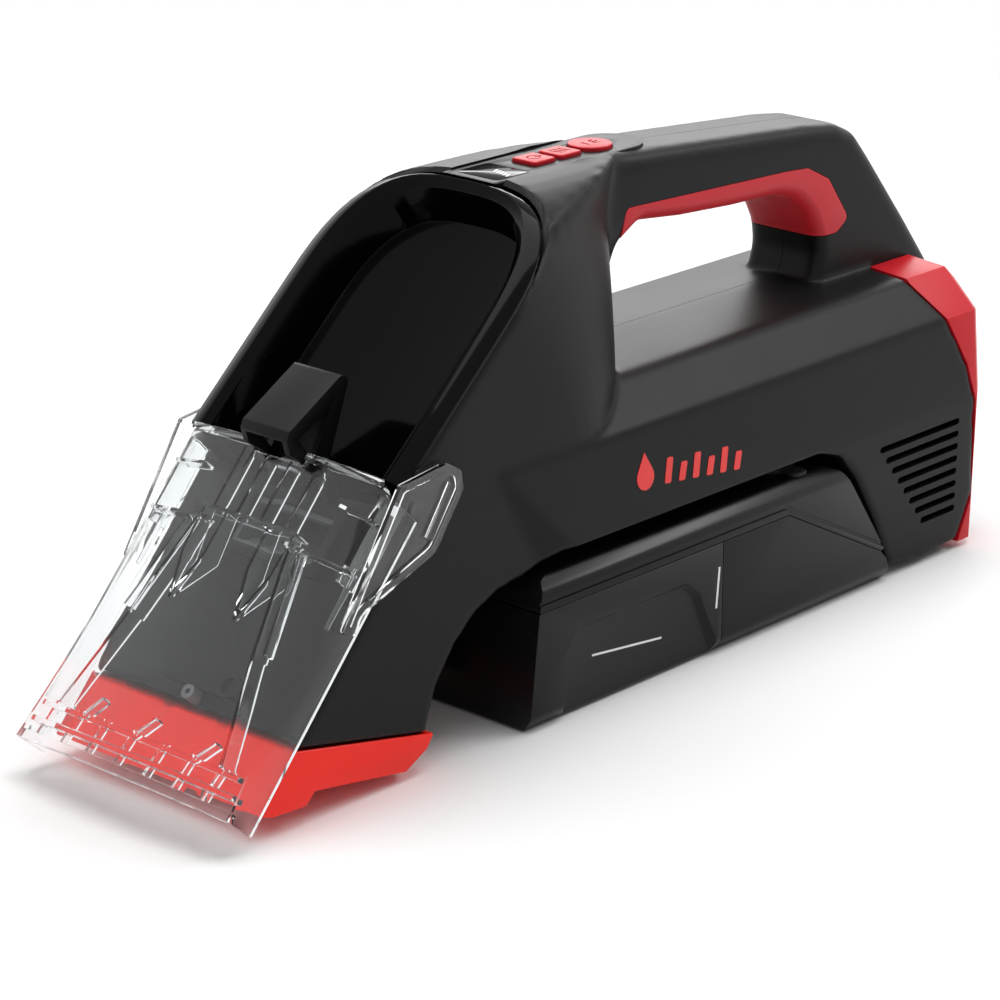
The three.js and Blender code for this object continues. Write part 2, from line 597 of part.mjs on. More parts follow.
// ---------------------------------------------------------------- nose: cowl, front panel, foot, spray jet
function addNose() {
  const flange = archPrism(NOSE_HALF_WIDTH, ARCH_CROWN, 0, 0, RIM_FLANGE);
  const cup = archPrism(TROUGH_HALF_WIDTH + TROUGH_WALL, ARCH_CROWN - 5, 0, 0, TROUGH_DEPTH + TROUGH_WALL);
  const recess = archPrism(TROUGH_HALF_WIDTH, ARCH_CROWN - 7.5, -20, -1, TROUGH_DEPTH);
  add("front_cowl", cut(join(flange, cup), recess), GLOSS_BLACK);
  const cowlClearance = join(
    archPrism(NOSE_HALF_WIDTH + GAP, ARCH_CROWN + GAP, 0, -1, RIM_FLANGE + GAP),
    archPrism(TROUGH_HALF_WIDTH + TROUGH_WALL + GAP, ARCH_CROWN - 5 + GAP, 0, -1, TROUGH_DEPTH + TROUGH_WALL + GAP),
  );

  // Plate behind the clear nozzle, with the suction port above and the spray boss below.
  const halfWidth = NOSE_HALF_WIDTH - WALL - GAP;
  const top = -6;
  const plate = sidePrism(
    [
      onNozzle(top, PANEL_DEPTH),
      nozzleAtHeight(footSeam.front + 3 + GAP, PANEL_DEPTH),
      nozzleAtHeight(footSeam.front + 3 + GAP, PANEL_DEPTH + PANEL_THICKNESS),
      onNozzle(top, PANEL_DEPTH + PANEL_THICKNESS),
    ],
    -halfWidth,
    halfWidth,
  );
  const [bossX, bossZ] = onNozzle(SPRAY.v, PANEL_DEPTH);
  const boss = rod([bossX, -SPRAY.halfLength, bossZ], [bossX, SPRAY.halfLength, bossZ], SPRAY.radius, 16);
  const ears = [-1, 1].map((side) => {
    const y = side * (LATCH.halfWidth + GAP + 1.5);
    const [pinX, pinZ] = LATCH.pivot;
    const outline = [
      [pinX - 2.5, pinZ + 2.5],
      [pinX + 2.5, pinZ + 2.5],
      onNozzle(top, PANEL_DEPTH + 1),
      onNozzle(top - 4.5, PANEL_DEPTH + 1),
    ];
    return sidePrism(outline, y - 1.5, y + 1.5);
  });
  const pinHole = rod([LATCH.pivot[0], -30, LATCH.pivot[1]], [LATCH.pivot[0], 30, LATCH.pivot[1]], LATCH.pinRadius + GAP, 12);
  const ductHole = sidePrism(
    [
      onNozzle(DUCT.v0 + GAP, 0),
      onNozzle(DUCT.v1 - GAP, 0),
      onNozzle(DUCT.v1 - GAP, 40),
      onNozzle(DUCT.v0 + GAP, 40),
    ],
    -DUCT.halfWidth - GAP,
    DUCT.halfWidth + GAP,
  );
  const jetLine = (v) => [onNozzle(SPRAY.v, v)[0], 0, onNozzle(SPRAY.v, v)[1]];
  const jetHole = rod(jetLine(0), jetLine(40), SPRAY.jetRadius + GAP, 14);
  add("front_panel", cut(join(plate, boss, ...ears), ductHole, pinHole, jetHole), SATIN_BLACK);
  const jet = rod(jetLine(PANEL_DEPTH - SPRAY.radius - 0.6), jetLine(PANEL_DEPTH + 8), SPRAY.jetRadius, 14);
  const jetBore = rod(jetLine(PANEL_DEPTH - 9), jetLine(PANEL_DEPTH + 5), 1, 10);
  add("spray_jet", cut(jet, jetBore), GREY_PLASTIC);

  // Red foot: a shallow cup that closes the nose from below.
  const seamFront = nozzleAtHeight(footSeam.front - GAP, PANEL_DEPTH);
  const footOutline = [
    seamFront,
    nozzleAtHeight(9, PANEL_DEPTH + GAP),
    [-191.3, 7.2],
    [-176.5, 6.2],
    [-172.3, 10.2],
    [-130, 3.3],
    [-119.8, 8.4],
    [footSeam.rearX, footSeam.rearZ],
    [footSeam.rearX - 3, footSeam.rearZ + 1 - GAP],
  ];
  const body = sidePrism(footOutline, -NOSE_HALF_WIDTH, NOSE_HALF_WIDTH);
  const pocketOutline = inset(footOutline, WALL);
  const up = 14;
  pocketOutline[0] = [pocketOutline[0][0] + up / 2, pocketOutline[0][1] + up];
  pocketOutline[footOutline.length - 1] = [footSeam.rearX - 8, footSeam.rearZ + up];
  pocketOutline[footOutline.length - 2] = [footSeam.rearX - 6, footSeam.rearZ + 1];
  const pocket = sidePrism(pocketOutline, -NOSE_HALF_WIDTH + WALL, NOSE_HALF_WIDTH - WALL);
  add("nose_foot", cut(body, pocket), FOOT_RED);

  // Gasket round the suction port.
  const [g0, g1] = [PANEL_DEPTH - 1.8, PANEL_DEPTH - GAP];
  const frame = (extra, d0, d1) =>
    sidePrism(
      [
        onNozzle(DUCT.v0 + extra, d0),
        onNozzle(DUCT.v1 - extra, d0),
        onNozzle(DUCT.v1 - extra, d1),
        onNozzle(DUCT.v0 + extra, d1),
      ],
      -DUCT.halfWidth - extra,
      DUCT.halfWidth + extra,
    );
  add("nozzle_seal", cut(frame(2.4, g0, g1), frame(0, g0 - 1, g1 + 1)), RUBBER);
  return cowlClearance;
}

// ---------------------------------------------------------------- nozzle and its latch

function addNozzle() {
  const outer = NOZZLE_HALF_WIDTH;
  const frontPlate = (v0, v1, d0, d1, y0, y1) =>
    sidePrism([onNozzle(v0, d0), onNozzle(v1, d0), onNozzle(v1, d1), onNozzle(v0, d1)], y0, y1);
  const bow = 5; // the front and the lip stand further forward in the middle
  const rows = [LIP_V, 0].map((v) => {
    const [x, z] = onNozzle(v, 0);
    return { x, z };
  });
  const bowed = (depth) =>
    rows.map(({ x, z }) => {
      const steps = 8;
      const loop = [];
      for (let i = 0; i <= steps; i++) {
        const y = outer * ((2 * i) / steps - 1);
        const forward = bow * (1 - (y / outer) ** 2) - depth / Math.sin(NOZZLE_ANGLE);
        loop.push([x - forward, y, z]);
      }
      return loop;
    });
  const skin = bowed(0).map((loop, k) => [...loop, ...[...bowed(NOZZLE_WALL)[k]].reverse()]);
  const front = loft(skin);
  const sides = [-1, 1].map((side) => {
    const y = side * (outer - NOZZLE_WALL / 2);
    return frontPlate(0, LIP_V, 0, PANEL_DEPTH - GAP - 0.7, y - NOZZLE_WALL / 2, y + NOZZLE_WALL / 2);
  });
  const lipBar = loft(
    [LIP_V, LIP_V + 3].map((v) => {
      const [x, z] = onNozzle(v, 0);
      const near = bowed(0)[0].map(([bx, y]) => [bx - rows[0].x + x, y, z]);
      const far = bowed(NOZZLE_WALL * 2)[0].map(([bx, y]) => [bx - rows[0].x + x, y, z]);
      return [...near, ...far.reverse()];
    }),
  );
  const ribs = [-18, -8, 8, 18].map((y) => frontPlate(-14, -36, -2, PANEL_DEPTH - 7, y - 0.6, y + 0.6));
  const inside = common(join(...ribs), frontPlate(5, -60, -3, PANEL_DEPTH - 6, -40, 40));
  const earOutline = [
    [RIM_FOOT.x - 1.5, RIM_FOOT.z],
    [-112, 108],
    [-105.5, 103],
    [-105, 97.5],
    [-118.5, 79],
    [-153, 66.5],
    nozzleAtHeight(62, PANEL_DEPTH - 3),
    nozzleAtHeight(62, PANEL_DEPTH - 8),
  ];
  const ears = [-1, 1].map((side) => {
    const y = side * (NOSE_HALF_WIDTH + EAR.gap + 0.4 + EAR.thickness / 2);
    return sidePrism(earOutline, y - EAR.thickness / 2, y + EAR.thickness / 2);
  });
  const backing = bowed(-20).map((loop, k) => [...loop, ...[...bowed(NOZZLE_WALL * 0.6)[k]].reverse()]);
  const ribbed = cut(inside, loft(backing));
  const cowlSide = [
    onRim(-0.5, -0.5),
    onRim(-4.7, RIM_FLANGE + GAP),
    onNozzle(-6.5, PANEL_DEPTH - GAP),
    [-100, 80],
    [-60, 84],
    onRim(40, -0.5),
  ];
  const cowlSpace = sidePrism(cowlSide, -NOSE_HALF_WIDTH - EAR.gap - GAP, NOSE_HALF_WIDTH + EAR.gap + GAP);
  const nozzle = cut(join(front, lipBar, ...sides, ...ears, ribbed), latchSpace(), cowlSpace);
  add("clear_nozzle", nozzle, CLEAR);
}

// Lever in side view: lip over the nozzle's edge, thumb crest, and the foot round the pin.
const latchOutline = [
  [-143.5, 107.2],
  [-142.5, 110.2],
  [-119, 131],
  [-115.2, 129.5],
  [LATCH.pivot[0] + 3, LATCH.pivot[1] - 1],
  [LATCH.pivot[0], LATCH.pivot[1] - 3],
  [LATCH.pivot[0] - 3, LATCH.pivot[1] + 0.5],
  [-138.5, 107.5],
];
const latchWindow = [
  [-135, 109.5],
  [-120.5, 122.5],
  [-130, 105.5],
];
function latchSpace() {
  return sidePrism(inset(latchOutline, -0.8), -LATCH.halfWidth - 0.8, LATCH.halfWidth + 0.8);
}

function addLatch() {
  const [x, z] = LATCH.pivot;
  const lever = sidePrism(latchOutline, -LATCH.halfWidth, LATCH.halfWidth);
  const window = sidePrism(latchWindow, -FAR, FAR);
  const bore = rod([x, -FAR, z], [x, FAR, z], LATCH.pinRadius + GAP, 14);
  const springSpace = sidePrism(
    [
      [x - 6, z - 6],
      [x + 6, z - 6],
      [x + 7, z + 4.5],
      [x - 5, z + 4.5],
    ],
    -6.5,
    6.5,
  );
  add("nozzle_latch", cut(lever, window, bore, springSpace), SATIN_BLACK);
  add("latch_pin", rod([x, -LATCH.pinHalfLength, z], [x, LATCH.pinHalfLength, z], LATCH.pinRadius, 14), STEEL);
  add("latch_spring", pipe([x, -5.5, z], [x, 5.5, z], LATCH.pinRadius + GAP + 1, 1, 16), STEEL);
}

// ---------------------------------------------------------------- control panel and buttons
const BUTTONS = {
  power_button: { x: -12.5, halfX: 5.6, halfY: 5.6 },
  suction_button: { x: 1.2, halfX: 5.6, halfY: 5.6 },
  spray_button: { x: 17.2, halfX: 8, halfY: 8, round: true },
};

function addControls(cowlClearance) {
  const { x0, x1, top, height } = PANEL;
  const plateBottom = top - 2;
  const bottom = top - height;
  const body = planPrism(panelOutline(0), bottom, top);
  const pocket = planPrism(inset(panelOutline(0), 1.6), bottom - 1, plateBottom);
  const windowSeat = box([x0 + 5, x0 + 22], [-10, 10], [top - 1.1, top + 1]);
  const cap = ({ x, halfX, halfY, round }, extra, z0, z1) =>
    round
      ? rod([x, 0, z0], [x, 0, z1], halfX + extra, 24)
      : box([x - halfX - extra, x + halfX + extra], [-halfY - extra, halfY + extra], [z0, z1]);
  const holes = Object.values(BUTTONS).map((b) => cap(b, GAP, bottom, top + 1));
  add("control_panel", cut(body, pocket, windowSeat, cowlClearance, ...holes), SATIN_BLACK);
  const windowGap = GAP;
  add(
    "display_window",
    box([x0 + 5 + windowGap, x0 + 22 - windowGap], [-10 + windowGap, 10 - windowGap], [top - 0.8, top + 0.1]),
    GLOSS_BLACK,
  );
  const flangeTop = plateBottom - GAP;
  const flangeBottom = flangeTop - 1;
  for (const [name, button] of Object.entries(BUTTONS)) {
    const face = cap(button, 0, flangeBottom, top + 1.3);
    const flange = cap(button, 0.6, flangeBottom, flangeTop);
    add(name, join(face, flange), RED);
  }
  // Switch board with one dome under each button, seated below the panel's skirt.
  const boardTop = bottom - GAP;
  const board = box([x0 + 24, x1 + 8], [-PANEL.halfWidth + 1.5, PANEL.halfWidth - 1.5], [boardTop - 1.6, boardTop]);
  const domes = Object.values(BUTTONS).map(({ x }) =>
    rod([x, 0, boardTop - 0.5], [x, 0, flangeBottom - BUTTON_TRAVEL - GAP], 2.5, 12, 2),
  );
  add("switch_board", join(board, ...domes), BOARD_GREEN);
}

// ---------------------------------------------------------------- air and water path
function channel(points, innerPoints, halfWidth) {
  return cut(sidePrism(points, -halfWidth, halfWidth), sidePrism(innerPoints, -halfWidth + DUCT_WALL, halfWidth - DUCT_WALL));
}

const portFoot = TANK_HEIGHT + 3; // ducts and seals reach down to the tank's collars
const floorZ = BAY_ROOF + WALL + GAP; // what stands on the bay roof
const AIR_DUCT_TOP = floorZ + 14;

function addAirPath() {
  const w = DUCT_WALL;
  const { x0, x1 } = SUCTION_PORT;
  const seat = PANEL_DEPTH + 0.4;
  const outer = [
    onNozzle(DUCT.v0, seat),
    onNozzle(DUCT.v1, seat),
    onNozzle(DUCT.v1, seat + 3.5),
    [x0 - 22, floorZ + 1],
    [x0, floorZ + 1],
    [x0, portFoot],
    [x1, portFoot],
    [x1, floorZ + 14],
    [x0 - 14, floorZ + 14],
    onNozzle(DUCT.v0, seat + 3.5),
  ];
  const inner = inset(outer, w);
  const mouth = onNozzle(DUCT.v0 - w, -4);
  const mouthLow = onNozzle(DUCT.v1 + w, -4);
  inner[0] = [mouth[0], mouth[1]];
  inner[1] = [mouthLow[0], mouthLow[1]];
  inner[5] = [x0 + w, portFoot - 5];
  inner[6] = [x1 - w, portFoot - 5];
  add("suction_duct", channel(outer, inner, DUCT.halfWidth), GREY_PLASTIC);

  const air = AIR_PORT;
  const end = FAN.front - GAP;
  const airOuter = [
    [air.x0, portFoot],
    [air.x1, portFoot],
    [air.x1, floorZ],
    [end - 25, floorZ],
    [end - 13, FAN.z - 12],
    [end, FAN.z - 12],
    [end, AIR_DUCT_TOP],
    [air.x0, AIR_DUCT_TOP],
  ];
  const airInner = inset(airOuter, w);
  airInner[0] = [air.x0 + w, portFoot - 5];
  airInner[1] = [air.x1 - w, portFoot - 5];
  airInner[5] = [end + 5, FAN.z - 12 + w];
  airInner[6] = [end + 5, AIR_DUCT_TOP - w];
  add("air_duct", channel(airOuter, airInner, air.halfY), GREY_PLASTIC);
  const clear = w + GAP;
  add(
    "air_filter",
    box([38, 52], [-air.halfY + clear, air.halfY - clear], [floorZ + clear, AIR_DUCT_TOP - clear]),
    FOAM,
  );

  // Soft collars between the tank's lid and the ducts.
  const sealZ = [TANK_HEIGHT + GAP, BAY_ROOF - GAP];
  for (const [name, p] of Object.entries({ suction_seal: SUCTION_PORT, air_seal: AIR_PORT })) {
    const ring = cut(port(p, 3, ...sealZ), port(p, GAP, sealZ[0] - 1, sealZ[1] + 1));
    add(name, ring, RUBBER);
  }
}

function addFanAndMotor() {
  const { front, length, radius, housingRadius, z } = FAN;
  const wall = 2;
  const drum = cut(
    rod([front, 0, z], [front + length, 0, z], housingRadius, 36),
    rod([front + wall, 0, z], [front + length - wall, 0, z], housingRadius - wall, 36),
    rod([front - 1, 0, z], [front + 5, 0, z], 9, 20),
    rod([front + 10, 0, z], [front + length + 1, 0, z], MOTOR.shaftRadius + 1.2, 16),
    ...[0, 1, 2, 3, 4, 5].map((k) => {
      const angle = (Math.PI / 3) * (k + 0.5);
      const y = Math.cos(angle) * (housingRadius - 7);
      const up = Math.sin(angle) * (housingRadius - 7);
      return rod([front + 10, y, z + up], [front + length + 1, y, z + up], 4.2, 10);
    }),
  );
  add("fan_housing", drum, GREY_PLASTIC);

  const clear = 1.2;
  const rear = front + length - wall - clear;
  const disc = rod([rear - 2, 0, z], [rear, 0, z], radius, 32);
  const hub = rod([front + wall + clear + 2, 0, z], [rear, 0, z], 6, 16);
  const blades = [];
  const bladeCount = 9;
  for (let i = 0; i < bladeCount; i++) {
    const blade = new THREE.BoxGeometry(rear - 1 - (front + wall + clear), 1.4, radius - 6);
    blade.translate((rear - 1 + front + wall + clear) / 2, 0, (radius + 3) / 2);
    blade.rotateX((2 * Math.PI * i) / bladeCount).translate(0, 0, z);
    blades.push(solidOf(blade));
  }
  const bore = rod([front, 0, z], [front + length, 0, z], MOTOR.shaftRadius + GAP, 16);
  add("fan_impeller", cut(join(disc, hub, ...blades), bore), WHITE_PLASTIC);

  const body = rod([motorFront, 0, z], [motorFront + MOTOR.length, 0, z], MOTOR.radius, 28);
  const shaft = rod([front + wall + clear + 3, 0, z], [motorFront + 1, 0, z], MOTOR.shaftRadius, 16);
  const endCap = rod([motorFront + MOTOR.length - 1, 0, z], [motorFront + MOTOR.length + 3, 0, z], 6, 16);
  const terminals = [-1, 1].map((side) =>
    box([motorFront + MOTOR.length - 1, motorFront + MOTOR.length + 4], [side * 11 - 1.5, side * 11 + 1.5], [z - 0.5, z + 0.5]),
  );
  add("motor", join(body, shaft, endCap, ...terminals), STEEL);
  const ringX = RIBS[1].x - 1;
  add("motor_mount", pipe([ringX, 0, z], [ringX + 5, 0, z], MOTOR.radius + 4, 4 - GAP, 28), RUBBER);
}

function addPower() {
  const wall = 1.6;
  const span = CELL.count * CELL.pitch + 2 * wall;
  const x0 = 12;
  const half = CELL.length / 2 + wall + GAP;
  const z0 = AIR_DUCT_TOP + GAP;
  const cellZ = z0 + wall + GAP + CELL.radius;
  const tray = cut(
    box([x0, x0 + span], [-half, half], [z0, z0 + 10]),
    box([x0 + wall, x0 + span - wall], [-half + wall, half - wall], [z0 + wall, z0 + 11]),
  );
  const boardZ = cellZ + CELL.radius + 1.2;
  const posts = [
    [x0, -half],
    [x0 + span - wall, -half],
    [x0, half - 3],
    [x0 + span - wall, half - 3],
  ].map(([x, y]) => box([x, x + wall], [y, y + 3], [z0, boardZ - GAP]));
  add("battery_tray", join(tray, ...posts), GREY_PLASTIC);
  for (let i = 0; i < CELL.count; i++) {
    const x = x0 + wall + CELL.pitch * (i + 0.5);
    add(
      `battery_cell_${i + 1}`,
      rod([x, -CELL.length / 2, cellZ], [x, CELL.length / 2, cellZ], CELL.radius, 20),
      CELL_WRAP,
    );
  }
  const board = box([x0 - 1, x0 + span + 1], [-half, half], [boardZ, boardZ + 1.6]);
  const parts = [
    box([x0 + 8, x0 + 22], [-20, -8], [boardZ + 1, boardZ + 4]),
    box([x0 + 34, x0 + 44], [2, 12], [boardZ + 1, boardZ + 3.4]),
    box([x0 + 56, x0 + 70], [-18, 14], [boardZ + 1, boardZ + 4]),
  ];
  add("main_board", join(board, ...parts), BOARD_GREEN);
}

function addWater() {
  const { x, y, z, radius, length } = PUMP;
  const [front, rear] = [x - length / 2, x + length / 2];
  const body = rod([front, y, z], [rear, y, z], radius, 20);
  const foot = box([x + 2, x + 18], [y - 7, y + 7], [floorZ, z - radius + 3]);
  const spigots = join(
    rod([front - 6, y, z], [front + 1, y, z], 2, 12),
    rod([rear - 1, y, z], [rear + 6, y, z], 2, 12),
  );
  add("water_pump", join(body, foot, spigots), GREY_PLASTIC);
  const tubeEnd = 3 * GAP + 6;
  const supply = sweptTube(
    [
      [rear + tubeEnd, y, z],
      [rear + tubeEnd + 10, y + 2, z - 2],
      [0, WATER_PORT.y, z - 5],
      [WATER_PORT.x - 18, WATER_PORT.y, z - 5],
      [WATER_PORT.x - 5, WATER_PORT.y, z - 7],
      [WATER_PORT.x, WATER_PORT.y, z - 13],
      [WATER_PORT.x, WATER_PORT.y, TANK_HEIGHT + 2.5],
    ],
    TUBE_RADIUS,
    30,
  );
  add("supply_tube", supply, SILICONE);
  const jet = onNozzle(SPRAY.v, PANEL_DEPTH + 8 + GAP);
  const jetNext = onNozzle(SPRAY.v, PANEL_DEPTH + 14);
  const spray = sweptTube(
    [
      [front - tubeEnd, y, z],
      [front - tubeEnd - 10, y, z - 1],
      [-108, y, 62],
      [-132, 28, 44],
      [-146, 10, 34],
      [jetNext[0], 0, jetNext[1]],
      [jet[0], 0, jet[1]],
    ],
    TUBE_RADIUS - 0.5,
    30,
  );
  add("spray_tube", spray, SILICONE);
}

// ---------------------------------------------------------------- rear trim and cover
function rearEnd(t) {
  const half = [
    [BODY_HALF_WIDTH - 1, 3],
    [BODY_HALF_WIDTH, BAY_ROOF],
    [SHOULDER_HALF_WIDTH, shoulderHeight],
    [DECK_EDGE.y, DECK_HEIGHT - DECK_EDGE.drop],
    [6, DECK_HEIGHT],
  ];
  const station = (x, amount) => inset(mirrored(half), amount + t).map(([y, z]) => [x, y, z]);
  return loft([
    station(140, 0),
    station(186, 0),
    station(REAR.trimEnd, REAR.inset),
    station(REAR_X - t, REAR.coverInset),
  ]);
}

function addRear() {
  const seam = trimSeam.map(([x, z]) => [x + GAP, z]);
  seam[0] = [seam[0][0] - 1, 0];
  const behindSeam = sidePrism([...seam, [220, DECK_HEIGHT + 6], [220, 0]], -FAR, FAR);
  const ring = common(
    cut(rearEnd(0), rearEnd(REAR.thickness)),
    behindSeam,
    box([0, REAR.trimEnd], [-FAR, FAR], [-5, 200]),
  );
  const footClearance = common(handleBody(-GAP), box([120, 240], [-FAR, FAR], [60, 200]));
  add("rear_trim", cut(ring, footClearance), RED);
  const coverShell = common(
    cut(rearEnd(REAR.thickness + GAP), rearEnd(REAR.thickness + GAP + WALL)),
    box([186, 240], [-FAR, FAR], [-5, 200]),
  );
  const dome = common(rearEnd(0), box([REAR.trimEnd + GAP, 240], [-FAR, FAR], [-5, 200]));
  const domeHollow = common(rearEnd(WALL + REAR.thickness), box([180, REAR_X - WALL], [-FAR, FAR], [-5, 200]));
  const socketHole = rod([180, 0, SOCKET.z], [240, 0, SOCKET.z], SOCKET.radius + GAP, 20);
  add("rear_cover", cut(join(coverShell, dome), domeHollow, footClearance, socketHole), SATIN_BLACK);
  const coverBack = REAR_X - WALL - REAR.thickness;
  const flange = rod([coverBack - 4.8, 0, SOCKET.z], [coverBack - 2, 0, SOCKET.z], SOCKET.radius + 2, 20);
  const barrel = rod([REAR_X - 16, 0, SOCKET.z], [REAR_X - 0.6, 0, SOCKET.z], SOCKET.radius, 20);
  const well = rod([REAR_X - 11, 0, SOCKET.z], [REAR_X + 1, 0, SOCKET.z], SOCKET.radius - 1.6, 16);
  add("charging_socket", cut(join(flange, barrel), well), GREY_PLASTIC);
}

// ---------------------------------------------------------------- tank
const LID_SEAM = { z: 43.2, bendX: 68, rearX: 126, rearZ: 13.5 };
const lidOutline = [
  [TANK_FRONT_X + 5.2, LID_SEAM.z + GAP],
  [TANK_FRONT_X + 6.2, TANK_HEIGHT - 6],
  [TANK_FRONT_X + 9, TANK_HEIGHT - 1.6],
  [TANK_FRONT_X + 14, TANK_HEIGHT],
  [TANK_REAR_X - 38, TANK_HEIGHT],
  [TANK_REAR_X - 31, TANK_HEIGHT - 3],
  [TANK_REAR_X - 26, TANK_HEIGHT - 9],
  [LID_SEAM.rearX + 2.2, LID_SEAM.rearZ + 0.6],
  [LID_SEAM.rearX, LID_SEAM.rearZ + GAP],
  [LID_SEAM.bendX + 0.1, LID_SEAM.z + GAP],
];
const bodyOutline = [
  [TANK_FRONT_X, 0],
  [TANK_FRONT_X + 5, LID_SEAM.z],
  [LID_SEAM.bendX, LID_SEAM.z],
  [LID_SEAM.rearX, LID_SEAM.rearZ],
  [TANK_REAR_X - 2.5, 10],
  [TANK_REAR_X, 4],
  [TANK_REAR_X, 0],
];
const SIDE_STEP = 2.5; // the dirty tank stands back from the clean tank's side
// Front edge of the clean tank where its side steps out.
const stepOutline = [
  [TANK_SPLIT_X - 18, 27],
  [TANK_SPLIT_X - 24, 33],
  [TANK_SPLIT_X - 24, 90],
  [TANK_REAR_X + 9, 90],
  [TANK_REAR_X + 9, -5],
  [TANK_SPLIT_X, -5],
  [TANK_SPLIT_X, 2],
];

function roundedAcross(solid) {
  const half = [
    [TANK_HALF_WIDTH - 3, 0],
    [TANK_HALF_WIDTH, 6],
    [TANK_HALF_WIDTH, TANK_HEIGHT - 4],
    [TANK_HALF_WIDTH - 3, TANK_HEIGHT + 0.01],
  ];
  return common(solid, crossPrism(mirrored(half), -100, 150));
}

function addTank() {
  const outer = roundedAcross(sidePrism(bodyOutline, -FAR, FAR));
  const sideCut = [-1, 1].map((side) => {
    const y = side * TANK_HALF_WIDTH;
    const recess = [
      [TANK_FRONT_X + 17, -1],
      [TANK_FRONT_X + 20, 26],
      [TANK_FRONT_X + 26, 33],
      [TANK_SPLIT_X - 20, 33],
      [TANK_SPLIT_X - 13, 27],
      [TANK_SPLIT_X + 1, -1],
    ];
    return sidePrism(recess, y - SIDE_STEP, y + SIDE_STEP);
  });
  const body = cut(outer, ...sideCut);
  const hollowHalf = TANK_HALF_WIDTH - TANK_WALL - SIDE_STEP - 1;
  const hollow = inset(bodyOutline, TANK_WALL);
  hollow[1] = [hollow[1][0] + 1, LID_SEAM.z + 10];
  hollow[2] = [LID_SEAM.bendX + 2, LID_SEAM.z + 10];
  hollow[3] = [LID_SEAM.rearX + 2, LID_SEAM.rearZ + 8];
  hollow[4] = [TANK_REAR_X - 2.1, 10];
  const cavity = sidePrism(hollow, -hollowHalf, hollowHalf);
  const frontHalf = box([-200, TANK_SPLIT_X - GAP / 2], [-FAR, FAR], [-5, 100]);
  const rearHalf = box([TANK_SPLIT_X + GAP / 2, 200], [-FAR, FAR], [-5, 100]);
  const dirtyCavity = common(cavity, box([-200, TANK_SPLIT_X - TANK_WALL], [-FAR, FAR], [-5, 100]));
  const cleanCavity = common(cavity, box([TANK_SPLIT_X + TANK_WALL, 200], [-FAR, FAR], [-5, 100]));
  add("dirty_tank", cut(common(body, frontHalf), dirtyCavity), TANK_BLACK);
  add("clean_tank", cut(common(body, rearHalf), cleanCavity), TANK_BLACK);

  // Lid: one cover over both tanks, with collars for suction, air, water and filling.
  const lidBlock = roundedAcross(sidePrism(lidOutline, -FAR, FAR));
  const lidHollow = inset(lidOutline, TANK_WALL);
  const last = lidOutline.length - 1;
  lidHollow[0] = [lidHollow[0][0], LID_SEAM.z - 5];
  lidHollow[last] = [LID_SEAM.bendX + 2, LID_SEAM.z - 5];
  lidHollow[last - 1] = [LID_SEAM.rearX - 4, LID_SEAM.rearZ - 5];
  lidHollow[last - 2] = [LID_SEAM.rearX - 1.5, LID_SEAM.rearZ + 2.4];
  const lidCavity = sidePrism(lidHollow, -hollowHalf, hollowHalf);
  const opening = (p) => port(p, -1, TANK_HEIGHT - 20, TANK_HEIGHT + 5);
  const waterHole = rod([WATER_PORT.x, WATER_PORT.y, 30], [WATER_PORT.x, WATER_PORT.y, 70], TUBE_RADIUS + GAP, 16);
  const fillHole = rod([FILL.x, FILL.y, 30], [FILL.x, FILL.y, 70], FILL.radius + GAP, 20);
  const lidShell = cut(lidBlock, lidCavity, opening(SUCTION_PORT), opening(AIR_PORT), waterHole, fillHole);
  add("tank_lid", lidShell, TANK_BLACK);

  // Gasket inside the seam, hung from the lid's underside along the dirty tank's rim.
  const gasketZ = [LID_SEAM.z - 3, LID_SEAM.z + 4];
  const ring = (shrink) =>
    box(
      [TANK_FRONT_X + 9 + shrink, TANK_SPLIT_X - TANK_WALL - 1 - shrink],
      [-hollowHalf + GAP + shrink, hollowHalf - GAP - shrink],
      gasketZ,
    );
  add("lid_gasket", cut(ring(0), zSlab(ring(2.5), gasketZ)), RUBBER);
}

// The same footprint, run past both ends in height.
function zSlab(solid, [z0, z1]) {
  const { min, max } = solid.boundingBox();
  return box([min[0], max[0]], [min[1], max[1]], [z0 - 1, z1 + 1]);
}


